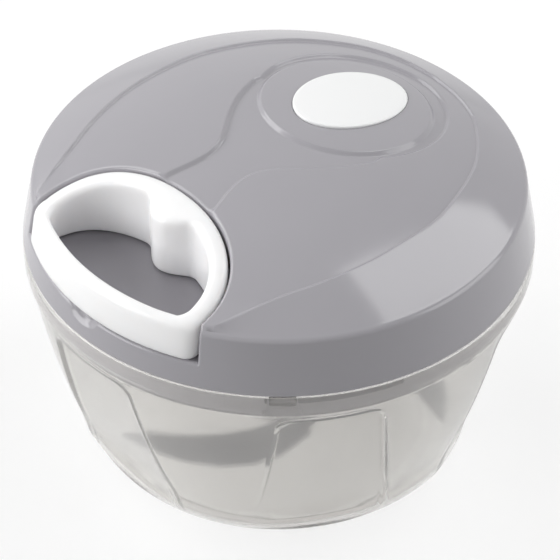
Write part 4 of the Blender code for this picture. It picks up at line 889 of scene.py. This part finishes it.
def recess_loops():
    """The recess's edge as matching loops on the skin, at the sharp corner, and on the wall or floor."""
    skirt_radii = [skirt_radius(z) for z in np.arange(Z_RECESS, Z_CREASE - CREASE_SIZE, RECESS_STEP)]
    radii = skirt_radii + [CREASE_RADIUS - inset for inset in RECESS_CREASE_INSETS]
    corner = arch_half_loop(RECESS_GAP, radii)
    skin = flat_of_plan(arch_half_loop(RECESS_GAP + RECESS_ROUND, radii))
    sharp = lid_surface(flat_of_plan(corner))
    down = np.array((0.0, 0.0, -1.0))
    back = unit(np.array((-RECESS_FLARE, 1.0, 0.0)))
    inward = np.tile(down, (len(corner), 1))
    count = len(skirt_radii)
    inward[:count] = back
    for k, share in enumerate(RECESS_CREASE_SHARES):
        inward[count + k] = unit(share * back + (1 - share) * down)
    wall = sharp + RECESS_ROUND * inward
    wall[0, 2] = Z_RECESS
    # The front edge, from the middle round to the right corner.
    radius = skirt_radius(Z_RECESS)
    angles = np.linspace(0, math.atan2(corner[0, 0], -corner[0, 1]), 40)
    out = np.stack([np.sin(angles), -np.cos(angles)], 1)
    front_sharp = floor_surface(radius * out)
    front_skin = run_at_height(front_sharp[:, 2] - RECESS_ROUND)[:, None] * out
    front_wall = floor_surface((radius - RECESS_ROUND) * out)
    front_wall[-1] = wall[0]
    # One more point rounds the skin's edge between the front and the side.
    turn = (front_skin[-1] + skin[0]) / 2
    turn = turn + (turn - flat_of_plan(corner[:1])[0]) * RECESS_CORNER_FULLNESS
    halves = (
        np.concatenate([front_skin, turn[None], skin]),
        np.concatenate([front_sharp, front_sharp[-1:], sharp]),
        np.concatenate([front_wall, wall[:1], wall]),
    )
    return [mirrored(half)[:-1] for half in halves], len(front_skin)


def lid_points(loop):
    """Flat points over the lid: rings, closer at the crease and foot, and rows beside the relief's lines."""
    crease = run_at_radius(CREASE_RADIUS - CREASE_SIZE)
    skirt = run_at_height(Z_CREASE - CREASE_SIZE)
    foot = run_at_height(Z_SKIRT + FOOT_ROUND)
    rings = list(np.arange(RING_STEP, crease - RING_STEP / 4, RING_STEP))
    rings += list(np.linspace(crease, skirt, 9))
    rings += list(np.linspace(skirt, foot, 9)[1:])
    rings += list(RUNS[RUNS > foot + POINT_GAP][::2])
    rings = [r for r in rings if r < RUNS[-1] - POINT_GAP] + [RUNS[-1]]
    points = [np.zeros((1, 2))]
    for ring in rings:
        count = max(RING_PARTS, int(round(2 * math.pi * ring / RING_STEP / RING_PARTS)) * RING_PARTS)
        if ring > crease - RIM_ROOM:
            count = RIM_COLUMNS
        points.append(ellipse(ring, ring, 0, count))
    base = np.concatenate(points)
    lines = ((PLATEAU, STEP_ROWS), (KEYHOLE, GROOVE_ROWS), (HEAD, GROOVE_ROWS[:-1]), (BADGE, SEAT_ROWS))
    rows = np.concatenate([offsets_of(outline, distances) for outline, distances in lines])
    rows = rows[np.hypot(rows[:, 0], rows[:, 1]) < CREASE_RADIUS - CREASE_SIZE - LINE_END_ROOM]
    rows = flat_of_plan(rows)
    near = np.full(len(base), np.inf)
    for low in range(0, len(rows), CHUNK):
        chunk = rows[low : low + CHUNK]
        near = np.minimum(near, ((base[:, None, :] - chunk[None]) ** 2).sum(2).min(1))
    run = np.hypot(base[:, 0], base[:, 1])
    base = base[(near > LINE_ROOM**2) | (run > crease - RIM_ROOM)]
    points = np.concatenate([rows, base])
    return points[signed_distance(points, loop) > EDGE_ROOM]


def edge_strip(skin, sharp, wall, steps=6):
    """The recess's rounded edge as a grid from the skin inwards, its normals, and its turning sense."""
    ts = np.linspace(0, 1, steps + 1)[:, None, None]
    grid = (1 - ts) ** 2 * lid_surface(skin) + 2 * ts * (1 - ts) * sharp + ts**2 * wall
    normals = grid_normals(grid)
    outward = surface_normals(lid_surface, skin)
    sense = 1 if (normals[0] * outward).sum() > 0 else -1
    normals *= sense
    normals[0] = outward
    return grid, normals, sense


def recess_walls(arch):
    """The recess's walls as a grid, one column under each point of the arch's edge, and its normals."""
    levels = np.linspace(1, 0, 5)[:, None]
    heights = Z_RECESS + (arch[:, 2] - Z_RECESS) * levels
    plan = np.broadcast_to(arch[:, :2], (len(levels), len(arch), 2))
    along = np.gradient(arch[:, :2], axis=0)
    side = unit(np.stack([along[:, 1], -along[:, 0], 0 * along[:, 0]], 1))
    if side[len(side) // 2, 1] > 0:
        side = -side
    return np.concatenate([plan, heights[..., None]], 2), np.tile(side, (len(levels), 1))


def recess_floor(front, arch):
    """The recess's floor, closer at the scallop in its front edge, as flat points and triangles."""
    outline = np.concatenate([front[:, :2], arch[1:-1, :2]])
    gaps = np.linalg.norm(np.diff(outline, axis=0), axis=1)
    outline = outline[np.append(True, gaps > POINT_GAP)]
    xs = np.arange(-FLOOR_HALF_WIDTH, FLOOR_HALF_WIDTH, FLOOR_STEP)
    grid = lattice(xs, np.arange(FLOOR_FRONT_Y, FLOOR_BACK_Y, FLOOR_STEP))
    xs = np.arange(-NOTCH_HALF_WIDTH, NOTCH_HALF_WIDTH + POINT_GAP, NOTCH_STEP)
    notch = lattice(xs, np.arange(NOTCH_FRONT_Y, NOTCH_BACK_Y, NOTCH_ROW_STEP))
    grid = np.concatenate([grid[grid[:, 1] > NOTCH_BACK_Y + NOTCH_ROOM], notch])
    return filled(outline, grid[signed_distance(grid, outline) < -EDGE_ROOM])


def make_cover():
    """The lid: its relief and crease, and the recess with rounded edges, walls, floor and scallop."""
    (skin, sharp, wall), front_count = recess_loops()
    flat, triangles = filled(skin, lid_points(skin), outside=True)
    faces = [tuple(t) for t in triangles]
    points = [lid_surface(flat)]
    normals = [surface_normals(lid_surface, flat)]
    arch = wall[front_count : len(wall) - front_count + 1]
    strip, strip_normals, sense = edge_strip(skin, sharp, wall)
    walls, wall_normals = recess_walls(arch)
    for grid, outward, closed in ((strip, strip_normals, True), (walls, wall_normals, False)):
        first = sum(map(len, points))
        faces += grid_faces(len(grid), grid.shape[1], closed, first, flip=sense < 0)
        points.append(grid.reshape(-1, 3))
        normals.append(outward.reshape(-1, 3))
    front = np.concatenate([wall[len(wall) - front_count + 1 :], wall[:front_count]])
    flat, triangles = recess_floor(front, arch)
    first, floor_first = sum(map(len, points)), len(faces)
    faces += [tuple(int(i) + first for i in t) for t in triangles]
    points.append(floor_surface(flat))
    normals.append(surface_normals(floor_surface, flat))
    cover = add_mesh("lid_shell", np.concatenate(points), faces, LID_GREY, np.concatenate(normals))
    # The recess floor's faces get the darker grey, which is painted shade under the handle.
    cover.data.materials.append(RECESS_PAINTED_SHADE_GREY)
    for polygon in list(cover.data.polygons)[floor_first:]:
        polygon.material_index = 1
    return cover


def make_badge():
    """The bare oval badge: a thin crowned disc with a rounded rim, in its seat."""
    rings = [(1.0, BADGE_FOOT_GAP - SEAT_DEPTH)]
    rings += [(size, BADGE_PROUD * proud) for size, proud in BADGE_RIM_SHARES]
    outline = ellipse(BADGE_HALF_WIDTH, BADGE_HALF_LENGTH, BADGE_Y, 120)
    grid = []
    for size, height in rings:
        plan = (outline - (0, BADGE_Y)) * size + (0, BADGE_Y)
        grid.append(np.column_stack([plan, dome_height(np.hypot(plan[:, 0], plan[:, 1])) + height]))
    points = np.concatenate(grid)
    count = len(outline)
    last = len(points) - count
    faces = grid_faces(len(rings), count, True)
    faces += [(last + j, last + (j + 1) % count, len(points)) for j in range(count)]
    faces.append(tuple(reversed(range(count))))
    tip = (0, BADGE_Y, dome_height(BADGE_Y) + BADGE_PROUD)
    return add_mesh("badge_disc", np.vstack([points, tip]), faces, BADGE_WHITE)


# Handle


def front_arc(radius, corner, room):
    """The front of a ring at a radius, from its middle to where the round of its corner starts."""
    angles = np.linspace(0, math.atan2(corner[0], -corner[1]) - room / radius, 30)
    return radius * np.stack([np.sin(angles), -np.cos(angles)], 1)


def outer_outline(radius):
    """The right half of the handle's outline where its front has a radius, as front, corner and back."""
    corner = side_point(ARCH_HALF_WIDTH, radius)
    front = front_arc(radius, corner, HANDLE_CORNER)
    arch = [arch_point(ARCH_HALF_WIDTH, ARCH_DEPTH, math.pi / 2 * i / 90) for i in range(91)]
    back = after_length([corner] + arch, HANDLE_CORNER)
    return front, bezier(front[-1], corner, back[0], 12), back


def finger_outline():
    """The right half of the finger gap's outline, with the boss that stands into it."""
    half = ARCH_HALF_WIDTH - HANDLE_WALL
    corner = np.array(side_point(half, FRONT_BAR_RADIUS))
    front = front_arc(FRONT_BAR_RADIUS, corner, FINGER_CORNER)
    arch = np.array([arch_point(half, ARCH_DEPTH - HANDLE_WALL, math.pi / 2 * i / 120) for i in range(121)])
    arch = arch[arch[:, 1] > corner[1]]
    share = np.clip(1 - (arch[:, 0] / BOSS_HALF_WIDTH) ** 2, 0, 1)
    arch[:, 1] -= BOSS_DEPTH * share**BOSS_POWER
    back = after_length(np.concatenate([[corner], arch]), FINGER_CORNER)
    back = eased(spread(back, 160), 8)
    middle = (front[-1] + back[0]) / 2
    return front, bezier(front[-1], middle + FINGER_CORNER_FULLNESS * (corner - middle), back[0], 12), back


def handle_sections():
    """(outer foot, outer top, inner top, inner foot) round the right half of the ring, from front to back."""
    counts = (16, 9, 56)

    def line(parts, height):
        plan = [spread(part, count) for part, count in zip(parts, counts)]
        plan = np.concatenate([plan[0], plan[1][1:], plan[2][1:]])
        if height is not None:
            return np.column_stack([plan, np.full(len(plan), height)])
        r = np.minimum(np.hypot(plan[:, 0], plan[:, 1]), CREASE_RADIUS)
        return np.column_stack([plan, dome_height(r) + raise_of(plan) + HANDLE_PROUD])

    foot = outer_outline(skirt_radius(Z_HANDLE_FOOT) + HANDLE_PROUD)
    top = outer_outline(CREASE_RADIUS + HANDLE_PROUD)
    finger = finger_outline()
    lines = (line(foot, Z_HANDLE_FOOT), line(top, None), line(finger, None), line(finger, Z_HANDLE_FOOT))
    return np.stack(lines, 1)


def rounded_sections(corners, sizes, steps=6):
    """Each section's corners rounded, with a point beside each round that keeps the flats flat."""
    rows = []
    for k, size in enumerate(sizes):
        corner = corners[:, k]
        arms = []
        for neighbour in (corners[:, k - 1], corners[:, (k + 1) % len(sizes)]):
            arm = neighbour - corner
            length = np.linalg.norm(arm, axis=1, keepdims=True)
            arms.append((arm * np.minimum(size / length, SECTION_SIZE_SHARE), arm * SECTION_FLAT_SHARE))
        (back, back_more), (ahead, ahead_more) = arms
        rows.append(corner + back + back_more)
        for i in range(steps + 1):
            t = i / steps
            rows.append(corner + back * (1 - t) ** 2 + ahead * t**2)
        rows.append(corner + ahead + ahead_more)
    return np.stack(rows, 1)


def eased(points, reach):
    """An even line of points with its bends eased over a reach to either side."""
    both = mirrored(points)
    result = points.copy()
    for i in range(1, len(points)):
        near = min(reach, i)
        result[i] = both[i - near : i + near + 1].mean(axis=0)
    return result


def rod(name, radius, low, high, axis, place):
    """A closed rod along an axis, as a cutter."""
    shape = bmesh.new()
    ends = {"radius1": radius, "radius2": radius, "depth": high - low}
    bmesh.ops.create_cone(shape, cap_ends=True, segments=32, **ends)
    mesh = bpy.data.meshes.new(name)
    shape.to_mesh(mesh)
    shape.free()
    axis = Vector(axis)
    middle = Vector(place) + axis * (low + high) / 2
    return add_object(name, mesh, middle, Vector((0, 0, 1)).rotation_difference(axis))


def make_handle():
    """The D-shaped pull: a rounded bar round the finger gap, its boss, the cord's hole and its pocket."""
    half = handle_sections()
    ring = np.concatenate([half, half[-2:0:-1] * (-1, 1, 1)])
    grid = rounded_sections(ring, (HANDLE_FOOT_ROUND, HANDLE_TOP_ROUND, HANDLE_TOP_ROUND, HANDLE_FOOT_ROUND))
    piece = faces_out(add_grid("handle_ring", grid, WHITE, looped=True))
    knot_y = HANDLE_BACK_Y - KNOT_SETBACK
    hole = rod("cord_hole", CORD_RADIUS + HOLE_GAP, knot_y, HANDLE_BACK_Y + CUTTER_REACH,
               (0, 1, 0), (0, 0, Z_CORD))
    pocket = rod("knot_pocket", KNOT_ROOM, Z_HANDLE_FOOT - CUTTER_REACH, Z_CORD + KNOT_ROOM,
                 (0, 0, 1), (0, knot_y, 0))
    return cut(piece, hole, pocket)


# Bowl


def bowl_radius(z):
    """The bowl's outer radius at a height, on a smooth curve through the CAD's own radii."""
    table = [(share * Z_STEP, radius * RIM_RADIUS) for share, radius in BOWL_SIDE_SHARES]
    table.append((Z_STEP - COLLAR_HEIGHT, RIM_RADIUS - COLLAR_STEP))
    heights, radii = np.array(table).T
    slopes = np.gradient(radii, heights)
    k = int(np.clip(np.searchsorted(heights, z) - 1, 0, len(heights) - 2))
    step = heights[k + 1] - heights[k]
    t = min(max((z - heights[k]) / step, 0.0), 1.0)
    start = (1 + 2 * t) * (1 - t) ** 2 * radii[k] + t * (1 - t) ** 2 * step * slopes[k]
    end = t * t * (3 - 2 * t) * radii[k + 1] + t * t * (t - 1) * step * slopes[k + 1]
    return start + end


def panel_half_width(z):
    """The panels widen towards the foot."""
    share = (PANEL_TOP - PANEL_CORNER - z) / (PANEL_TOP - PANEL_CORNER - PANEL_BOTTOM)
    return PANEL_TOP_HALF + (PANEL_FOOT_HALF - PANEL_TOP_HALF) * min(max(share, 0.0), 1.0)


def panel_depth(u, z, radius):
    """How far the skin stands inside the round bowl at a distance u beside a panel's middle."""
    qx = abs(u) - (panel_half_width(z) - PANEL_CORNER)
    qz = z - (PANEL_TOP - PANEL_CORNER)
    outside = math.hypot(max(qx, 0), max(qz, 0))
    edge = outside + min(max(qx, qz), 0) - PANEL_CORNER
    mask = smoothstep(-edge / PANEL_STEP_WIDTH)
    chord = min(panel_half_width(z), PANEL_HALF_WIDTH)
    flat = radius * math.cos(math.asin(chord / radius)) - PANEL_STEP
    pressed = radius - flat / math.cos(math.asin(min(abs(u) / radius, PANEL_SINE_LIMIT)))
    fade = min(max((z - PANEL_BOTTOM) / PANEL_RUNOUT, 0.0), 1.0)
    return max(pressed, PANEL_STEP) * mask * smoothstep(fade)


def bowl_columns(z):
    """Distances beside a panel's middle, closer together at its corner and its edge."""
    half = panel_half_width(z)
    edge = half - PANEL_STEP_WIDTH
    return np.concatenate([
        np.linspace(0, half - PANEL_CORNER - PANEL_ROOM * 2.5, 6),
        np.linspace(half - PANEL_CORNER, edge - PANEL_ROOM * 2, 9),
        np.linspace(edge - PANEL_ROOM / 2, half + PANEL_ROOM, 9),
    ])


def bowl_row(z, radius=None, wall=0.0):
    """One ring of the bowl at a height, plain at a given radius, or else with its panels."""
    columns = bowl_columns(z)
    outer = bowl_radius(z)
    angles = np.arcsin(columns / outer)
    pitch = 2 * math.pi / PANELS
    right = np.concatenate([angles, np.linspace(angles[-1], pitch / 2, 7)[1:]])
    offsets = np.concatenate([-right[-2:0:-1], right])
    if radius is None:
        radius = [outer - wall - panel_depth(outer * math.sin(offset), z, outer) for offset in offsets]
    angles = PANEL_FIRST_AZIMUTH + pitch * np.arange(PANELS)[:, None] + offsets
    return turned(radius, angles, z).reshape(-1, 3)


def bowl_heights():
    """Heights of the bowl's rings, closer together at the panels' tops and the foot."""
    corner = PANEL_TOP - PANEL_CORNER
    edge = PANEL_TOP - PANEL_STEP_WIDTH
    return np.concatenate([
        np.linspace(HEEL_BOTTOM, HEEL_TOP, 11),
        np.linspace(HEEL_TOP + PANEL_ROOM * 10, corner - PANEL_ROOM * 5, 20),
        np.linspace(corner, edge - PANEL_ROOM * 1.5, 7),
        np.linspace(edge, PANEL_TOP + PANEL_ROOM, 6),
        [PANEL_TOP + PANEL_ROOM * 5],
    ])


def foot_rows():
    """(height, radius) from under the bowl's middle out round its foot ring to its heel."""
    r = BOWL_ROUND
    foot_in = FOOT_RADIUS - FOOT_WIDTH / 2
    foot_out = FOOT_RADIUS + FOOT_WIDTH / 2
    return (
        (FOOT_HEIGHT, FOOT_RADIUS * FLOOR_FIRST_SHARE),
        (FOOT_HEIGHT, FOOT_RADIUS * FLOOR_HALFWAY_SHARE),
        (FOOT_HEIGHT, foot_in - r),
        (FOOT_HEIGHT - r / 2, foot_in - r / 4),
        (r / 2, foot_in + r / 4),
        (0, foot_in + r),
        (0, foot_out - r),
        (r / 2, foot_out - r / 4),
        (FOOT_HEIGHT - r / 2, foot_out + r / 4),
        (FOOT_HEIGHT, foot_out + r),
        (FOOT_HEIGHT, BOWL_FLAT_RADIUS),
        (FOOT_HEIGHT + r, BOWL_FLAT_RADIUS + r * 5),
        (FOOT_HEIGHT + r * 2.75, BOWL_FLAT_RADIUS + r * 8.5),
    )


def rim_rows():
    """(height, radius) up the collar, over the lip and down inside it."""
    r = BOWL_ROUND
    collar = Z_STEP - COLLAR_HEIGHT
    lip = Z_STEP + LIP_HEIGHT
    return (
        (collar - r * 3, bowl_radius(collar - r * 3)),
        (collar, bowl_radius(collar)),
        (collar + r / 4, RIM_RADIUS - COLLAR_STEP / 2),
        (collar + r / 2, RIM_RADIUS - r / 2),
        (collar + r, RIM_RADIUS - r / 6),
        (collar + r * 2, RIM_RADIUS),
        (Z_STEP - r, RIM_RADIUS),
        (Z_STEP - r / 4, RIM_RADIUS - r / 4),
        (Z_STEP, RIM_RADIUS - r),
        (Z_STEP, LIP_RADIUS + r / 2),
        (Z_STEP + r / 2, LIP_RADIUS),
        (lip - r, LIP_RADIUS),
        (lip, LIP_RADIUS - r),
        (lip, LIP_BORE + r),
        (lip - r, LIP_BORE),
        (Z_STEP - LIP_BASE, LIP_BORE),
        (collar + r, LIP_BORE),
        (collar - r, LIP_BORE + r / 2),
        (collar - r * 4, bowl_radius(collar - r * 4) - BOWL_WALL),
    )


def floor_rows():
    """(height, radius) over the bowl's floor, and up and down into the post with the pin's bore."""
    r = BOWL_ROUND
    top = BOWL_FLOOR_TOP + POST_HEIGHT
    return (
        (BOWL_FLOOR_TOP + r * 1.75, BOWL_FLAT_RADIUS + r * 5.5),
        (BOWL_FLOOR_TOP + r / 2, BOWL_FLAT_RADIUS + r * 2.5),
        (BOWL_FLOOR_TOP, BOWL_FLAT_RADIUS - r * 1.5),
        (BOWL_FLOOR_TOP, FOOT_RADIUS * FLOOR_HALFWAY_SHARE),
        (BOWL_FLOOR_TOP, POST_RADIUS + r * 7.5),
        (BOWL_FLOOR_TOP + r * 1.5, POST_RADIUS + r * 5),
        (top - r, POST_RADIUS),
        (top, POST_RADIUS - r),
        (top, PIN_BORE),
        (PIN_BORE_BASE, PIN_BORE),
    )


def make_bowl():
    """The clear bowl: foot ring, rounded heel, pressed panels, collar, lip and post."""
    heights = bowl_heights()
    inside = [z for z in reversed(heights) if z > BOWL_FLOOR_TOP + BOWL_ROUND * 3.5]
    rows = [bowl_row(z, radius) for z, radius in foot_rows()]
    rows += [bowl_row(z) for z in heights]
    rows += [bowl_row(z, radius) for z, radius in rim_rows()]
    rows += [bowl_row(z, wall=BOWL_WALL) for z in inside]
    rows += [bowl_row(z, radius) for z, radius in floor_rows()]
    return sharpen(add_grid("bowl_shell", np.array(rows), CLEAR, ended=True, flip_ends=True), 55)


def make_lock_ring():
    """The wall behind the bayonet's openings, and the band below them with its four entries."""
    pitch = 2 * math.pi / LUGS
    angles = 2 * np.pi * np.arange(720) / 720
    offsets = (angles - LUG_AZIMUTH + pitch / 2) % pitch - pitch / 2
    step = smoothstep((abs(offsets) - ENTRY_HALF_ANGLE) / ENTRY_SLOPE_ANGLE)
    band = LOCK_WALL_RADIUS + (LOCK_BAND_RADIUS - LOCK_WALL_RADIUS) * step
    inner = LOCK_WALL_RADIUS - LOCK_WALL
    rows = (
        (inner, Z_LOCK_WALL_TOP),
        (inner, Z_LOCK_FOOT - ENTRY_WALL_DROP),
        (LOCK_WALL_RADIUS - FOOT_ROUND / 2, Z_LOCK_FOOT - ENTRY_WALL_DROP),
        (LOCK_WALL_RADIUS, Z_LOCK_FOOT),
        (np.maximum(band - FOOT_ROUND, LOCK_WALL_RADIUS), Z_LOCK_FOOT),
        (band, Z_LOCK_FOOT + FOOT_ROUND),
        (band, Z_LOCK_BAND_TOP),
        (LOCK_WALL_RADIUS, Z_LOCK_BAND_TOP),
        (LOCK_WALL_RADIUS, Z_LOCK_WALL_TOP),
        (inner, Z_LOCK_WALL_TOP),
    )
    grid = np.array([turned(r, angles, z) for r, z in rows])
    piece = add_grid("lock_ring_wall", grid, INNER_GREY)
    return sharpen(faces_out(piece, merged=True), 40)


def make_lugs():
    """The bowl's bayonet lugs, rounded blocks on the inside of its collar."""
    seat = LIP_BORE + LUG_SEAT
    pieces = []
    for k in range(LUGS):
        grid = []
        for t in np.linspace(-1, 1, LUG_SECTIONS):
            taper = LUG_TAPER if abs(t) == 1 else 0.0
            angle = LUG_AZIMUTH + 2 * math.pi * k / LUGS + LUG_HALF_ANGLE * t
            inner, low, high = LUG_INNER_RADIUS + taper, Z_LUG + taper, Z_LUG + LUG_HEIGHT - taper
            section = (
                (seat, low),
                (inner + LUG_ROUND, low),
                (inner, low + LUG_ROUND),
                (inner, high - LUG_ROUND),
                (inner + LUG_ROUND, high),
                (seat, high),
            )
            radii, heights = np.array(section).T
            grid.append(turned(radii, angle, heights))
        piece = add_grid(f"bowl_lug_{k + 1}", np.array(grid), CLEAR_LUG, ended=True)
        pieces.append(sharpen(faces_out(piece, merged=True), 35))
    return pieces


# Cord


def helix_points():
    """The winding on the drum, from where the cord leaves it."""
    leave = math.pi + math.asin(WINDING_RADIUS / -CORD_BEND_Y)
    share = np.linspace(0, 1, WINDING_TURNS * 72 + 1)
    angles = leave - 2 * math.pi * WINDING_TURNS * share
    return turned(WINDING_RADIUS, angles, Z_CORD + WINDING_RISE * share)


def stretch_points():
    """The cord from the drum to the guide and out to the handle, with many points where it pays out."""
    start = helix_points()[0]
    bend = np.array((0.0, CORD_BEND_Y, Z_CORD))
    end_y = HANDLE_BACK_Y - KNOT_SETBACK + CORD_END_ROOM
    first = start + (bend - start) * CORD_FIRST_SHARE
    before = bend + unit(start - bend) * CORD_BEND_ROOM
    after = bend - (0.0, CORD_BEND_ROOM, 0.0)
    leg = first + (before - first) * np.linspace(0, 1, 24)[:-1, None]
    pays_out = np.linspace(after[1], HANDLE_BACK_Y, 140)[1:]
    ys = np.concatenate([pays_out, np.linspace(HANDLE_BACK_Y, end_y, 8)[1:]])
    straight = np.column_stack([0 * ys, ys, 0 * ys + Z_CORD])
    return np.concatenate([leg, bezier(before, bend, after, 8), straight])


def knot_points():
    """A small overhand knot, as a trefoil in the handle's pocket."""
    t = 2 * np.pi * np.arange(150) / 150
    x = (np.sin(t) + 2 * np.sin(2 * t)) * KNOT_SIZE
    y = HANDLE_BACK_Y - KNOT_SETBACK - np.sin(3 * t) * KNOT_DEPTH
    return np.column_stack([x, y, Z_CORD + (np.cos(t) - 2 * np.cos(2 * t)) * KNOT_SIZE])


# Scene


def outward(azimuth, elevation):
    """The direction of an azimuth and an elevation in radians."""
    flat = math.cos(elevation)
    return Vector((flat * math.cos(azimuth), flat * math.sin(azimuth), math.sin(elevation)))


def add_camera():
    camera = bpy.data.cameras.new("camera")
    camera.lens = CAMERA_LENS
    camera.sensor_width = SENSOR_WIDTH
    camera.clip_start = CLIP_START
    out = outward(CAMERA_AZIMUTH, CAMERA_ELEVATION)
    turn = (-out).to_track_quat("-Z", "Y")
    right = turn @ Vector((1, 0, 0))
    place = CAMERA_TARGET + right * CAMERA_SHIFT_RIGHT + out * CAMERA_DISTANCE
    turn = turn @ Quaternion((0, 0, 1), CAMERA_ROLL)
    bpy.context.scene.camera = add_object("camera", camera, place, turn)


def background_share(tree):
    """1 for rays that show the background: from the camera, a reflection or through the clear bowl."""
    ray = tree.nodes.new("ShaderNodeLightPath")
    share = ray.outputs["Is Camera Ray"]
    for name in ("Is Glossy Ray", "Is Transmission Ray"):
        share = calculate(tree, "MAXIMUM", share, ray.outputs[name])
    return share


def add_world():
    world = bpy.data.worlds.new("studio")
    world.use_nodes = True
    tree = world.node_tree
    strength = ramp(tree, background_share(tree), 0, 1, AMBIENT, 1.0)
    wire(tree, tree.nodes["Background"], {"Color": WHITE_LIGHT, "Strength": strength})
    bpy.context.scene.world = world


def add_floor():
    """A pale floor that shows as white, and keeps a soft part of the object's shadow."""
    points = [(x * FLOOR_SIZE, y * FLOOR_SIZE, 0) for x, y in ((-1, -1), (1, -1), (1, 1), (-1, 1))]
    material, tree, shader = new_material("studio_floor")
    share = background_share(tree)
    tone = ramp(tree, share, 0, 1, FLOOR_TONE, FLOOR_SHOWN_TONE)
    look = {"Base Color": tone, "Roughness": FLOOR_ROUGHNESS, "Specular IOR Level": FLOOR_GLOSS}
    wire(tree, shader, look)
    glow = add_node(tree, "ShaderNodeEmission", {"Color": WHITE_LIGHT})
    show_mix(tree, ramp(tree, share, 0, 1, 0, FLOOR_GLOW), shader.outputs[0], glow)
    add_mesh("studio_floor", points, [(0, 1, 2, 3)], material)


def add_lamp(name, place, aim, size, length, power):
    """A rectangular soft lamp at a place, whose long side lies along its own Y."""
    lamp = bpy.data.lights.new(name, "AREA")
    lamp.shape = "RECTANGLE"
    lamp.size = size
    lamp.size_y = length
    lamp.energy = power
    add_object(name, lamp, place, (aim - place).to_track_quat("-Z", "Y"))


def add_lamps():
    below = WINDOW_LAMP_PLACE - Vector((0, 0, 1))
    add_lamp("window_lamp", WINDOW_LAMP_PLACE, below, *WINDOW_LAMP_SIZE, WINDOW_LAMP_POWER)
    for name, azimuth, elevation, distance, width, length, power in LAMPS:
        place = CAMERA_TARGET + outward(math.radians(azimuth), math.radians(elevation)) * distance
        add_lamp(name, place, CAMERA_TARGET, width, length, power)


def build():
    add_camera()
    add_world()
    add_floor()
    add_lamps()

    cover = make_cover()
    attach(cover, "lid")
    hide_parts("lid_cover")

    lock = make_lock_ring()
    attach(lock, "lid")

    badge = make_badge()
    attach(badge, "lid")
    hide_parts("badge")

    handle = make_handle()
    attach(handle, "handle")
    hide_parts("pull_handle")

    bowl = make_bowl()
    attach(bowl, "bowl")
    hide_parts("bowl")

    for lug in make_lugs():
        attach(lug, "bowl")

    winding = sweep("cord_turns", helix_points(), CORD_RADIUS, 14, CORD)
    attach(winding, "reel")
    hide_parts("cord_winding")

    stretch = sweep("cord_stretch", stretch_points(), CORD_RADIUS, 14, CORD)
    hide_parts("pull_cord")
    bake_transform(stretch)

    knot = sweep("cord_end_knot", knot_points(), CORD_RADIUS * KNOT_CORD_SHARE, 12, CORD, closed=True)
    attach(knot, "handle")
    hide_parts("cord_knot")

    finishes = {"lid_base_plate": INNER_GREY, "sealing_ring": RUBBER}
    finishes.update(dict.fromkeys(WHITE_NODES, INNER_WHITE))
    for name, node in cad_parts.items():
        if not node.hide_render:
            for slot in node.material_slots:
                slot.material = finishes.get(name, STEEL)


bpy.context.scene.view_settings.view_transform = "Standard"
build()
bpy.context.view_layer.update()
